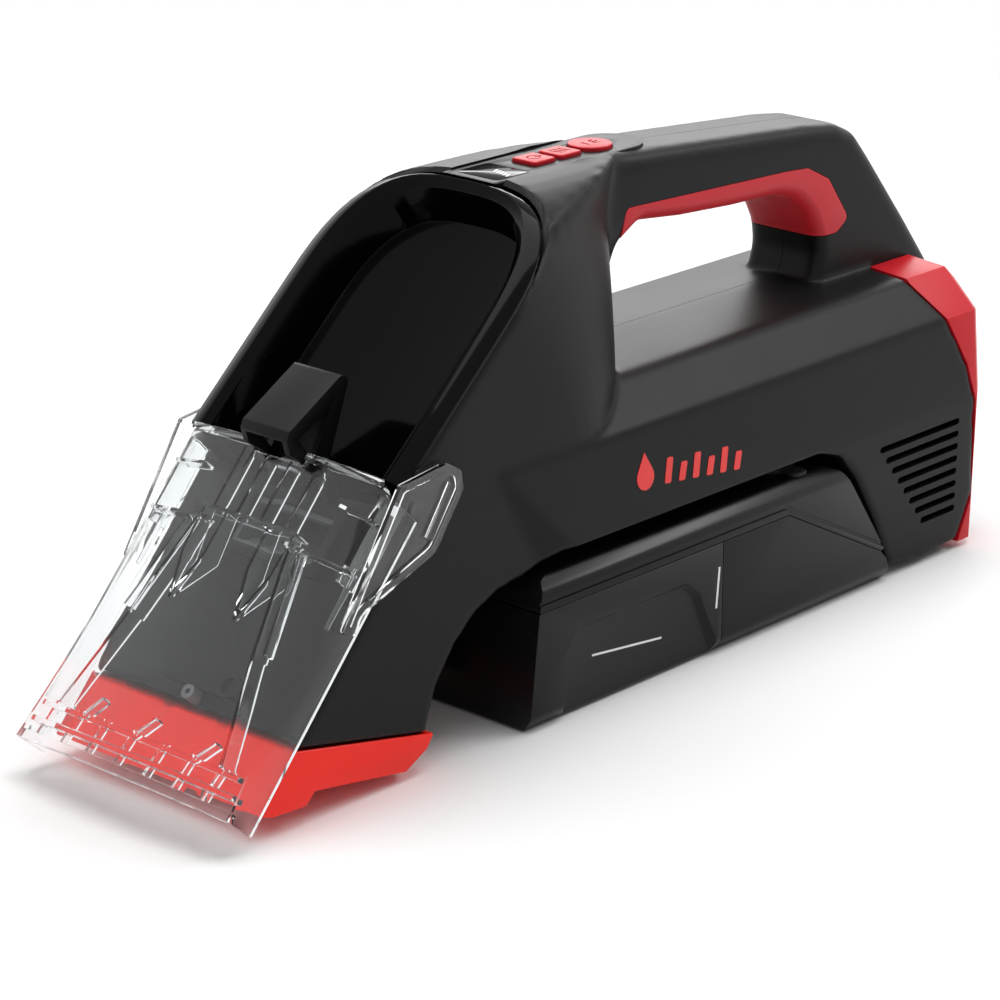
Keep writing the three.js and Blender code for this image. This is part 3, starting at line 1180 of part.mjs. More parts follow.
function addTankFittings() {
  // Float cage hangs from the lid under the air outlet; its ball rises and closes the outlet when the tank is full.
  const lidUnder = TANK_HEIGHT - TANK_WALL - GAP;
  const cageRadius = FLOAT.radius + GAP + FLOAT.cageWall;
  const cageBottom = lidUnder - FLOAT.travel - 2 * FLOAT.radius - FLOAT.cageWall - 2;
  const cage = cut(
    join(
      rod([FLOAT.x, 0, cageBottom], [FLOAT.x, 0, lidUnder], cageRadius, 24),
      box([FLOAT.x - 14, FLOAT.x + 12.5], [-18, 18], [lidUnder - 1.6, lidUnder]),
    ),
    rod([FLOAT.x, 0, cageBottom + FLOAT.cageWall], [FLOAT.x, 0, lidUnder - 2.6], FLOAT.radius + GAP, 24),
    rod([FLOAT.x, 0, cageBottom + 5], [FLOAT.x, 0, lidUnder + 1], FLOAT.radius - 2.5, 24),
    ...[0, 1].map((k) => {
      const wide = k ? [4, 30] : [30, 4];
      return box([FLOAT.x - wide[0], FLOAT.x + wide[0]], [-wide[1], wide[1]], [cageBottom + 3, lidUnder - 6]);
    }),
  );
  add("float_cage", cage, GREY_PLASTIC);
  const ball = new THREE.SphereGeometry(FLOAT.radius, 16, 10);
  ball.translate(FLOAT.x, 0, cageBottom + FLOAT.cageWall + GAP + FLOAT.radius);
  add("float_ball", solidOf(ball), WHITE_PLASTIC);

  // Stopper of the clean tank's filling hole, with a finger tab that reaches the near edge.
  const tab = box(
    [FILL.x - FILL.capHalf, FILL.x + FILL.capHalf],
    [-TANK_HALF_WIDTH + 3.2, FILL.y + FILL.capHalf],
    [TANK_HEIGHT + GAP, TANK_HEIGHT + 1.5],
  );
  const plug = cut(
    rod([FILL.x, FILL.y, TANK_HEIGHT - 5], [FILL.x, FILL.y, TANK_HEIGHT + 1], FILL.radius, 20),
    rod([FILL.x, FILL.y, TANK_HEIGHT - 6], [FILL.x, FILL.y, TANK_HEIGHT - 0.5], FILL.radius - 1.6, 20),
  );
  add("fill_cap", join(tab, plug), RUBBER);

  // Spring valve and pick-up tube under the pump's supply tube.
  const valveTop = TANK_HEIGHT - TANK_WALL - GAP;
  const { x, y } = WATER_PORT;
  const valve = cut(
    rod([x, y, valveTop - 12], [x, y, valveTop], 6, 16),
    rod([x, y, valveTop - 14], [x, y, valveTop + 1], 2.2, 12),
  );
  add("tank_valve", valve, GREY_PLASTIC);
  add("pickup_tube", pipe([x, y, TANK_WALL + 1.5], [x, y, valveTop - 12 - GAP], TUBE_RADIUS, 1, 14), SILICONE);
}

// Catch in front of the tank, hinged under the housing's lip.
function addTankCatch() {
  const [x, z] = CATCH.pivot;
  const outline = [
    [x - 2.5, z + 2.2],
    [x + 2.5, z + 2.2],
    [x + 9.6, z - 6],
    [x + 6.4, z - 34],
    [x + 2.2, z - 38],
    [x + 0.6, z - 36],
    [x + 4.6, z - 8],
    [x - 2.5, z - 2.5],
  ];
  const lever = sidePrism(outline, -CATCH.halfWidth, CATCH.halfWidth);
  const bore = rod([x, -FAR, z], [x, FAR, z], CATCH.pinRadius + GAP, 12);
  add("tank_catch", cut(lever, bore), SATIN_BLACK);
  add("catch_pin", rod([x, -CATCH.halfWidth - 4, z], [x, CATCH.halfWidth + 4, z], CATCH.pinRadius, 12), STEEL);
}

addHousing();
addGrip();
const cowlClearance = addNose();
addNozzle();
addLatch();
addControls(cowlClearance);
addAirPath();
addFanAndMotor();
addPower();
addWater();
addRear();
addTank();
addTankFittings();
addTankCatch();

export default machine;
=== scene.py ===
"""Cordless handheld carpet cleaner: shells, clear nozzle, tank, grip, keys and finishes."""

import logging
import math
from dataclasses import dataclass
from enum import Enum
from typing import Callable, Sequence

import bmesh
import bpy
from mathutils import Matrix, Vector


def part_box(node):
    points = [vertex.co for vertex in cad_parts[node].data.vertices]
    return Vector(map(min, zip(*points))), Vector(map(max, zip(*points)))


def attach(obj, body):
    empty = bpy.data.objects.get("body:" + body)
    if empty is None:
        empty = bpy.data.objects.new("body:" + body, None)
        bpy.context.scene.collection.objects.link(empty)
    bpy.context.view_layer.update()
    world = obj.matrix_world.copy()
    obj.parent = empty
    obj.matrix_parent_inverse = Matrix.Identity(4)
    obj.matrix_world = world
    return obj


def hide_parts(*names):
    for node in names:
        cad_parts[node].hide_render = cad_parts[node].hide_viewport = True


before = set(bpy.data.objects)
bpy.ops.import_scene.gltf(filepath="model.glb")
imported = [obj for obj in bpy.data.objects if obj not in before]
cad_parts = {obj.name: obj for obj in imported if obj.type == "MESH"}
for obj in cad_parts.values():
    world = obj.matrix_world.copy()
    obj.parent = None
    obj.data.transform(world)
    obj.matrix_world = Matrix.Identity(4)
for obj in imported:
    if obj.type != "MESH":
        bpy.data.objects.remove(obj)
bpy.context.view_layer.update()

log = logging.getLogger("carpet_cleaner")

Point = tuple[float, float]
Outline = tuple[Point, ...]
Piece = bpy.types.Object
Tree = bpy.types.NodeTree
Frame = Callable[[float, float, float], Vector]

MM = 0.001
DATUM_X = 7.0  # outlines count from the handle's front foot, the frame from mid length
CROWN_Z = 183.5
DECK_Z = 113.0
BAY_ROOF = 62.0  # roof over the tank, and the shoulder of the flanks
SHELL = 2.5  # wall of the housing
RIM_FOOT = (-132.7, 105.9)  # lower end of the cowl's rim and top edge of the nozzle
RIM_ANGLE = math.radians(42)
RIM_CROWN = (CROWN_Z - RIM_FOOT[1]) / math.sin(RIM_ANGLE)  # length of the rim along its plane
ARCH_START = 60.0  # along the rim, where its arch begins
NOZZLE_ANGLE = math.radians(48.4)
PANEL_DEPTH = 16.0
PLAY = 0.3  # between pieces that touch
WIDE = (-90.0, 90.0)  # across, beyond both flanks


# ---- places and outlines
def at(x: float, y: float, z: float) -> Vector:
    """A point of the machine in metres, from millimetres along, across and up."""
    return Vector(((x + DATUM_X) * MM, y * MM, z * MM))


def side(x: float, z: float, y: float) -> Vector:
    """Side view: outline in x and z, thickness across."""
    return at(x, y, z)


def cross(y: float, z: float, x: float) -> Vector:
    """Front view: outline in y and z, thickness along."""
    return at(x, y, z)


def plan(x: float, y: float, z: float) -> Vector:
    """Plan view: outline in x and y, thickness up."""
    return at(x, y, z)


def on_plane(angle: float, v: float, depth: float) -> Point:
    """A point v along a sloping front plane and a depth behind it, in side view."""
    x = RIM_FOOT[0] + v * math.cos(angle) + depth * math.sin(angle)
    z = RIM_FOOT[1] + v * math.sin(angle) - depth * math.cos(angle)
    return x, z


def rim(y: float, v: float, depth: float) -> Vector:
    """Rim plane of the cowl: outline in y and v, thickness in depth."""
    x, z = on_plane(RIM_ANGLE, v, depth)
    return at(x, y, z)


def nozzle(y: float, v: float, depth: float) -> Vector:
    """Front plane of the nozzle: outline in y and v, thickness in depth."""
    x, z = on_plane(NOZZLE_ANGLE, v, depth)
    return at(x, y, z)


def nozzle_side(v: float, depth: float, y: float) -> Vector:
    """Side view along the nozzle's plane: outline in v and depth, thickness across."""
    return nozzle(y, v, depth)


def nozzle_at_height(z: float, depth: float) -> Point:
    """The point of the nozzle plane's parallel at a depth that lies at a height."""
    x0, z0 = on_plane(NOZZLE_ANGLE, 0, depth)
    return x0 + (z - z0) / math.tan(NOZZLE_ANGLE), z


def rounded(points: Sequence[Point], radii: float | Sequence[float], steps: int = 4) -> list[Point]:
    """Rounds the corners of a closed outline.

    Args:
        points: the corners in order.
        radii: one radius for all corners, or one for each.
        steps: stretches of each arc.

    Returns:
        The outline with steps + 1 points for each corner.
    """
    count = len(points)
    sizes = [radii] * count if isinstance(radii, (int, float)) else list(radii)
    result = []
    for i, (x, y) in enumerate(points):
        corner = Vector((x, y))
        before = Vector(points[i - 1]) - corner
        after = Vector(points[(i + 1) % count]) - corner
        half = before.angle(after) / 2
        reach = min(sizes[i] / max(math.tan(half), 0.05), 0.45 * before.length, 0.45 * after.length)
        start = corner + before.normalized() * reach
        end = corner + after.normalized() * reach
        for k in range(steps + 1):
            t = k / steps
            p = start * (1 - t) ** 2 + corner * 2 * t * (1 - t) + end * t**2
            result.append((p.x, p.y))
    return result


def inset(points: Sequence[Point], distance: float) -> list[Point]:
    """A closed outline moved inwards by a distance, outwards when it is negative."""
    count = len(points)
    following = [*points[1:], points[0]]
    area = sum(a[0] * b[1] - b[0] * a[1] for a, b in zip(points, following))
    turn = math.copysign(distance, area * distance) if distance else 0.0
    lines = []
    for i in range(count):
        a, b = Vector(points[i]), Vector(points[(i + 1) % count])
        along = (b - a).normalized()
        lines.append((a + Vector((-along.y, along.x)) * turn, along))
    result = []
    for i in range(count):
        (p, d), (q, e) = lines[i - 1], lines[i]
        det = d.x * e.y - d.y * e.x
        if abs(det) < 1e-6:
            result.append((q.x, q.y))
            continue
        t = ((q.x - p.x) * e.y - (q.y - p.y) * e.x) / det
        result.append((p.x + d.x * t, p.y + d.y * t))
    return result


def mirrored(half: Sequence[Point]) -> list[Point]:
    """A closed outline from its half on the positive side; points on the centre line are kept once."""
    return list(half) + [(-y, z) for y, z in reversed(half) if abs(y) > 1e-6]


def circle(radius: float, count: int, centre: Point = (0.0, 0.0)) -> list[Point]:
    """Points of a circle."""
    x, y = centre
    angles = [i * (2 * math.pi / count) for i in range(count)]
    return [(x + radius * math.cos(angle), y + radius * math.sin(angle)) for angle in angles]


def rect(a: Point, b: Point) -> list[Point]:
    """Corners of a rectangle between two values each way."""
    return [(a[0], b[0]), (a[1], b[0]), (a[1], b[1]), (a[0], b[1])]


def capsule(centre: Point, length: float, radius: float, tilt: float = 0.0, steps: int = 6) -> list[Point]:
    """A slot with round ends, its length turned by a tilt."""
    half = length / 2 - radius
    result = []
    for end in (1, -1):
        for k in range(steps + 1):
            angle = math.pi * (k / steps - 0.5) + (0 if end > 0 else math.pi)
            x, y = end * half + radius * math.cos(angle), radius * math.sin(angle)
            c, s = math.cos(tilt), math.sin(tilt)
            result.append((centre[0] + x * c - y * s, centre[1] + x * s + y * c))
    return result


# ---- modelling
def deselect() -> None:
    """Leaves edit mode and selects nothing."""
    if bpy.context.object and bpy.context.object.mode != "OBJECT":
        bpy.ops.object.mode_set(mode="OBJECT")
    bpy.ops.object.select_all(action="DESELECT")


def pick(obj: Piece) -> Piece:
    """Selects one object alone and makes it the active one."""
    deselect()
    obj.select_set(True)
    bpy.context.view_layer.objects.active = obj
    return obj


def place_face(obj: Piece, ring: Sequence[Vector]) -> None:
    """Puts the corners of the selected face on the points of a ring."""
    mesh = bmesh.from_edit_mesh(obj.data)
    face = next(f for f in mesh.faces if f.select)
    for vert, point in zip(face.verts, ring):
        vert.co = point
    bmesh.update_edit_mesh(obj.data)


def loft(name: str, rings: Sequence[Sequence[Vector]]) -> Piece:
    """Extrudes a disc from ring to ring into one closed solid.

    Args:
        name: the new piece's name.
        rings: loops of equally many points, in metres.

    Returns:
        The solid, with its faces outwards.
    """
    deselect()
    bpy.ops.mesh.primitive_circle_add(vertices=len(rings[0]), radius=0.01, fill_type="NGON")
    obj = bpy.context.object
    obj.name = name
    obj.data.name = name
    bpy.ops.object.mode_set(mode="EDIT")
    bpy.ops.mesh.select_mode(type="FACE")
    bpy.ops.mesh.select_all(action="SELECT")
    place_face(obj, rings[0])
    for ring in rings[1:]:
        bpy.ops.mesh.extrude_region_move()
        place_face(obj, ring)
    bpy.ops.mesh.select_all(action="SELECT")
    bpy.ops.mesh.normals_make_consistent(inside=False)
    bpy.ops.object.mode_set(mode="OBJECT")
    return obj


def prism(name: str, outline: Sequence[Point], where: Frame, low: float, high: float) -> Piece:
    """A solid of one outline between two depths of a frame, in millimetres."""
    return loft(name, [[where(a, b, level) for a, b in outline] for level in (low, high)])


def block(name: str, x: Point, y: Point, z: Point) -> Piece:
    """A box between two values along, across and up."""
    return prism(name, rect(x, y), plan, *z)


def rod(name: str, start: Vector, end: Vector, radius: float, count: int = 24, taper: float = 1.0) -> Piece:
    """A round bar between two points in metres; radius in millimetres."""
    turn = (end - start).to_track_quat("Z", "Y").to_matrix()
    rings = []
    for centre, size in ((start, radius), (end, radius * taper)):
        rings.append([centre + turn @ Vector((a * MM, b * MM, 0)) for a, b in circle(size, count)])
    return loft(name, rings)


def apply(obj: Piece, kind: str, **settings: object) -> Piece:
    """Adds a modifier with its settings and applies it."""
    pick(obj)
    modifier = obj.modifiers.new(kind.title(), kind)
    for key, value in settings.items():
        setattr(modifier, key, value)
    bpy.ops.object.modifier_apply(modifier=modifier.name)
    return obj


def closed(obj: Piece) -> bool:
    """Whether every edge of a piece has exactly two faces."""
    mesh = bmesh.new()
    mesh.from_mesh(obj.data)
    result = bool(mesh.faces) and all(edge.is_manifold for edge in mesh.edges)
    mesh.free()
    return result


def boolean(obj: Piece, tool: Piece, operation: str, keep: bool = False) -> Piece:
    """Joins, cuts or trims a solid with another, which is removed unless it is kept."""
    solver = "MANIFOLD" if closed(obj) and closed(tool) else "EXACT"
    if solver == "EXACT":
        log.info("%s and %s: exact boolean", obj.name, tool.name)
    apply(obj, "BOOLEAN", object=tool, operation=operation, solver=solver)
    if not keep:
        bpy.data.objects.remove(tool, do_unlink=True)
    return obj


def cut(obj: Piece, *tools: Piece) -> Piece:
    """Cuts tools out of a solid."""
    for tool in tools:
        boolean(obj, tool, "DIFFERENCE")
    return obj


def join(obj: Piece, *tools: Piece) -> Piece:
    """Joins solids into one."""
    for tool in tools:
        boolean(obj, tool, "UNION")
    return obj


def trim(obj: Piece, tool: Piece) -> Piece:
    """Keeps what two solids share."""
    return boolean(obj, tool, "INTERSECT")


def copy_of(obj: Piece, name: str) -> Piece:
    """A copy with its own mesh."""
    twin = obj.copy()
    twin.data = obj.data.copy()
    twin.name = name
    twin.data.name = name
    bpy.context.scene.collection.objects.link(twin)
    return twin


def mirror_copy(obj: Piece, name: str) -> Piece:
    """The same piece on the other side of the machine, faces outwards."""
    twin = copy_of(obj, name)
    twin.data.transform(Matrix.Scale(-1, 4, (0, 1, 0)))
    twin.data.flip_normals()
    return twin


def soften(obj: Piece, width: float, segments: int = 2, angle: float = 32) -> Piece:
    """Rounds the sharp edges of a piece by a width in millimetres."""
    return apply(
        obj, "BEVEL", width=width * MM, segments=segments, limit_method="ANGLE",
        angle_limit=math.radians(angle), harden_normals=False, use_clamp_overlap=True,
    )


def smooth(obj: Piece, angle: float = 34) -> Piece:
    """Smooth shading that breaks at sharp edges."""
    pick(obj)
    bpy.ops.object.shade_smooth_by_angle(angle=math.radians(angle))
    return obj


def clean(obj: Piece) -> Piece:
    """Merges doubled corners and removes faces without an area."""
    pick(obj)
    bpy.ops.object.mode_set(mode="EDIT")
    bpy.ops.mesh.select_all(action="SELECT")
    bpy.ops.mesh.remove_doubles(threshold=1e-6)
    bpy.ops.mesh.dissolve_degenerate(threshold=1e-6)
    bpy.ops.object.mode_set(mode="OBJECT")
    return obj


def round_off(
    obj: Piece, width: float, segments: int = 2, edge: float = 32, crease: float = 34, merge: bool = True
) -> Piece:
    """Rounds the edges of a piece and shades it.

    Args:
        obj: the piece.
        width: of the rounding, in millimetres.
        segments: of the rounding.
        edge: degrees from which an edge is rounded.
        crease: degrees from which the shading breaks.
        merge: whether doubled corners are merged first.

    Returns:
        The piece.
    """
    if merge:
        clean(obj)
    return smooth(soften(obj, width, segments, edge), crease)


def slab(name: str, low: float, high: float, top: float = 200.0) -> Piece:
    """Everything between two places along the machine, up to a height."""
    return block(name, (low, high), WIDE, (-5, top))


# ---- finishes
def new_group(name: str, inputs: dict[str, float], outputs: Sequence[str]) -> tuple[Tree, object, object]:
    """A shader node group with float inputs and outputs.

    Args:
        name: the group's name.
        inputs: each input and its default.
        outputs: the outputs' names.

    Returns:
        The group, its input node and its output node.
    """
    tree = bpy.data.node_groups.new(name, "ShaderNodeTree")
    for label, value in inputs.items():
        socket = tree.interface.new_socket(label, in_out="INPUT", socket_type="NodeSocketFloat")
        socket.default_value = value
    for label in outputs:
        tree.interface.new_socket(label, in_out="OUTPUT", socket_type="NodeSocketFloat")
    return tree, tree.nodes.new("NodeGroupInput"), tree.nodes.new("NodeGroupOutput")


def node(tree: Tree, kind: str, **settings: object) -> bpy.types.Node:
    """Adds a node; settings are attributes, or inputs when their name is a socket's."""
    made = tree.nodes.new(kind)
    for key, value in settings.items():
        if hasattr(made, key):
            setattr(made, key, value)
        else:
            made.inputs[key.replace("_", " ")].default_value = value
    return made


def wire(tree: Tree, *links: tuple[bpy.types.Node, str | int, bpy.types.Node, str | int]) -> None:
    """Links sockets; each entry names a node with its output and a node with its input."""
    for source, output, target, entry in links:
        tree.links.new(source.outputs[output], target.inputs[entry])


def moulded_grain() -> Tree:
    """Fine spark-eroded grain of a moulding: its height, and a roughness that drifts slowly."""
    tree, start, end = new_group(
        "moulded_grain", {"Scale": 2600.0, "Drift": 0.06, "Roughness": 0.5}, ["Height", "Roughness"]
    )
    coords = node(tree, "ShaderNodeTexCoord")
    fine = node(tree, "ShaderNodeTexNoise", Detail=2.0, Roughness=0.6)
    slow = node(tree, "ShaderNodeTexNoise", Scale=28.0, Detail=3.0)
    centred = node(tree, "ShaderNodeMath", operation="SUBTRACT")
    centred.inputs[1].default_value = 0.5
    scaled = node(tree, "ShaderNodeMath", operation="MULTIPLY")
    total = node(tree, "ShaderNodeMath", operation="ADD")
    wire(
        tree,
        (coords, "Object", fine, "Vector"), (coords, "Object", slow, "Vector"),
        (start, "Scale", fine, "Scale"),
        (slow, "Fac", centred, 0), (centred, 0, scaled, 0), (start, "Drift", scaled, 1),
        (scaled, 0, total, 0),
        (start, "Roughness", total, 1), (fine, "Fac", end, "Height"), (total, 0, end, "Roughness"),
    )
    return tree


def handling_marks() -> Tree:
    """Faint smears that hands and cloths leave: a mask from 0 to 1."""
    tree, start, end = new_group("handling_marks", {"Scale": 40.0, "Spread": 0.5}, ["Mask"])
    coords = node(tree, "ShaderNodeTexCoord")
    stretch = node(tree, "ShaderNodeMapping")
    stretch.inputs["Scale"].default_value = (1.0, 1.0, 2.4)
    cloud = node(tree, "ShaderNodeTexNoise", Detail=5.0, Roughness=0.65, Distortion=0.6)
    window = node(tree, "ShaderNodeMapRange")
    window.inputs["From Max"].default_value = 0.8
    wire(
        tree,
        (coords, "Object", stretch, "Vector"), (stretch, "Vector", cloud, "Vector"),
        (start, "Scale", cloud, "Scale"),
        (start, "Spread", window, "From Min"), (cloud, "Fac", window, "Value"),
        (window, "Result", end, "Mask"),
    )
    return tree


@dataclass(frozen=True)
class Finish:
    """One surface finish and the settings of its shader."""

    name: str
    color: tuple[float, float, float]
    roughness: float
    grain: float = 0.0  # strength of the moulded grain's bump
    grain_scale: float = 2600.0
    drift: float = 0.06
    specular: float = 0.5
    metallic: float = 0.0
    smear: float = 0.0  # how far the handling marks lighten the colour
    transmission: float = 0.0
    ior: float = 1.5
    sheen: float = 0.0

    def material(self, groups: dict[str, Tree]) -> bpy.types.Material:
        """Builds the material.

        Args:
            groups: the shared node groups by name.

        Returns:
            The material, named after the finish.
        """
        material = bpy.data.materials.new(self.name)
        material.use_nodes = True
        tree = material.node_tree
        shader = tree.nodes["Principled BSDF"]
        settings = {
            "Base Color": (*self.color, 1.0), "Metallic": self.metallic, "Specular IOR Level": self.specular,
            "Transmission Weight": self.transmission, "IOR": self.ior, "Sheen Weight": self.sheen,
        }
        for label, value in settings.items():
            shader.inputs[label].default_value = value
        grain = node(tree, "ShaderNodeGroup", node_tree=groups["moulded_grain"])
        for label, value in (
            ("Scale", self.grain_scale), ("Drift", self.drift), ("Roughness", self.roughness)
        ):
            grain.inputs[label].default_value = value
        wire(tree, (grain, "Roughness", shader, "Roughness"))
        if self.grain:
            bump = node(tree, "ShaderNodeBump", Strength=self.grain, Distance=0.0001)
            wire(tree, (grain, "Height", bump, "Height"), (bump, "Normal", shader, "Normal"))
        if self.smear:
            marks = node(tree, "ShaderNodeGroup", node_tree=groups["handling_marks"])
            mix = node(tree, "ShaderNodeMix", data_type="RGBA")
            mix.inputs["A"].default_value = (*self.color, 1.0)
            lighter = [min(c * (1 + self.smear) + 0.002 * self.smear, 1) for c in self.color]
            mix.inputs["B"].default_value = (*lighter, 1.0)
            wire(tree, (marks, "Mask", mix, "Factor"), (mix, "Result", shader, "Base Color"))
        return material


class Paint(Enum):
    """Every finish of the machine."""

    SATIN_BLACK = Finish("satin_black", (0.0042, 0.0042, 0.0045), 0.4, grain=0.3, specular=0.15, smear=0.25)
    PANEL_BLACK = Finish("panel_black", (0.0042, 0.0042, 0.0045), 0.4, specular=0.15, smear=0.25)
    GLOSS_BLACK = Finish("gloss_black", (0.0012, 0.0012, 0.0013), 0.1, drift=0.03, specular=0.08, smear=0.2)
    TANK_BLACK = Finish(
        "tank_black", (0.0055, 0.0055, 0.006), 0.26, grain=0.06, drift=0.05, specular=0.2, smear=0.3
    )
    RED = Finish("red", (0.54, 0.010, 0.018), 0.42, grain=0.2, specular=0.22, smear=0.1)
    SOFT_RED = Finish(
        "soft_red", (0.56, 0.011, 0.02), 0.5, grain=0.5, grain_scale=1800.0, specular=0.35, sheen=0.05
    )
    FOOT_RED = Finish(
        "foot_red", (0.98, 0.026, 0.016), 0.26, grain=0.05, drift=0.03, specular=0.2, smear=0.06
    )
    CLEAR = Finish("clear", (0.97, 0.985, 0.99), 0.03, drift=0.02, transmission=1.0, ior=1.42)
    RUBBER = Finish("rubber", (0.01, 0.01, 0.01), 0.75, grain=0.5, grain_scale=1500.0, specular=0.3)
    GREY_PLASTIC = Finish("grey_plastic", (0.13, 0.135, 0.14), 0.5, grain=0.3, specular=0.4)
    WHITE_PLASTIC = Finish("white_plastic", (0.72, 0.72, 0.69), 0.4, grain=0.15)
    BOARD_GREEN = Finish("board_green", (0.012, 0.1, 0.037), 0.35, grain=0.2, grain_scale=900.0)
    CELL_WRAP = Finish("cell_wrap", (0.023, 0.12, 0.47), 0.25, grain=0.1, smear=0.2)
    FOAM = Finish("foam", (0.03, 0.03, 0.032), 0.95, grain=1.0, grain_scale=700.0, specular=0.2)
    STEEL = Finish("steel", (0.5, 0.51, 0.53), 0.3, grain=0.1, metallic=1.0)
    SILICONE = Finish("silicone", (0.7, 0.72, 0.72), 0.3, grain=0.1)
    MARK_WHITE = Finish("mark_white", (0.8, 0.8, 0.8), 0.5, grain=0.1)
    MARK_RED = Finish("mark_red", (0.8, 0.02, 0.015), 0.35, grain=0.1)
    MARK_GREY = Finish("mark_grey", (0.2, 0.2, 0.2), 0.5, grain=0.1)


class Palette:
    """Builds each material once and puts it on pieces."""

    def __init__(self) -> None:
        """Builds the shared groups and every material."""
        groups = {"moulded_grain": moulded_grain(), "handling_marks": handling_marks()}
        self.materials = {paint: paint.value.material(groups) for paint in Paint}

    def dress(self, obj: Piece, paint: Paint) -> Piece:
        """Gives a piece one material."""
        obj.data.materials.clear()
        obj.data.materials.append(self.materials[paint])
        return obj


def deliver(
    palette: Palette, obj: Piece, paint: Paint, body: str, stands_for: Sequence[str] = ()
) -> Piece:
    """Dresses a finished piece and sets it on its body.

    Args:
        palette: the materials.
        obj: the piece.
        paint: its finish.
        body: the body it moves with.
        stands_for: the plain solids that it replaces.

    Returns:
        The piece.
    """
    palette.dress(obj, paint)
    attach(obj, body)
    if stands_for:
        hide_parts(*stands_for)
    log.info("%s: %d faces on %s", obj.name, len(obj.data.polygons), body)
    return obj


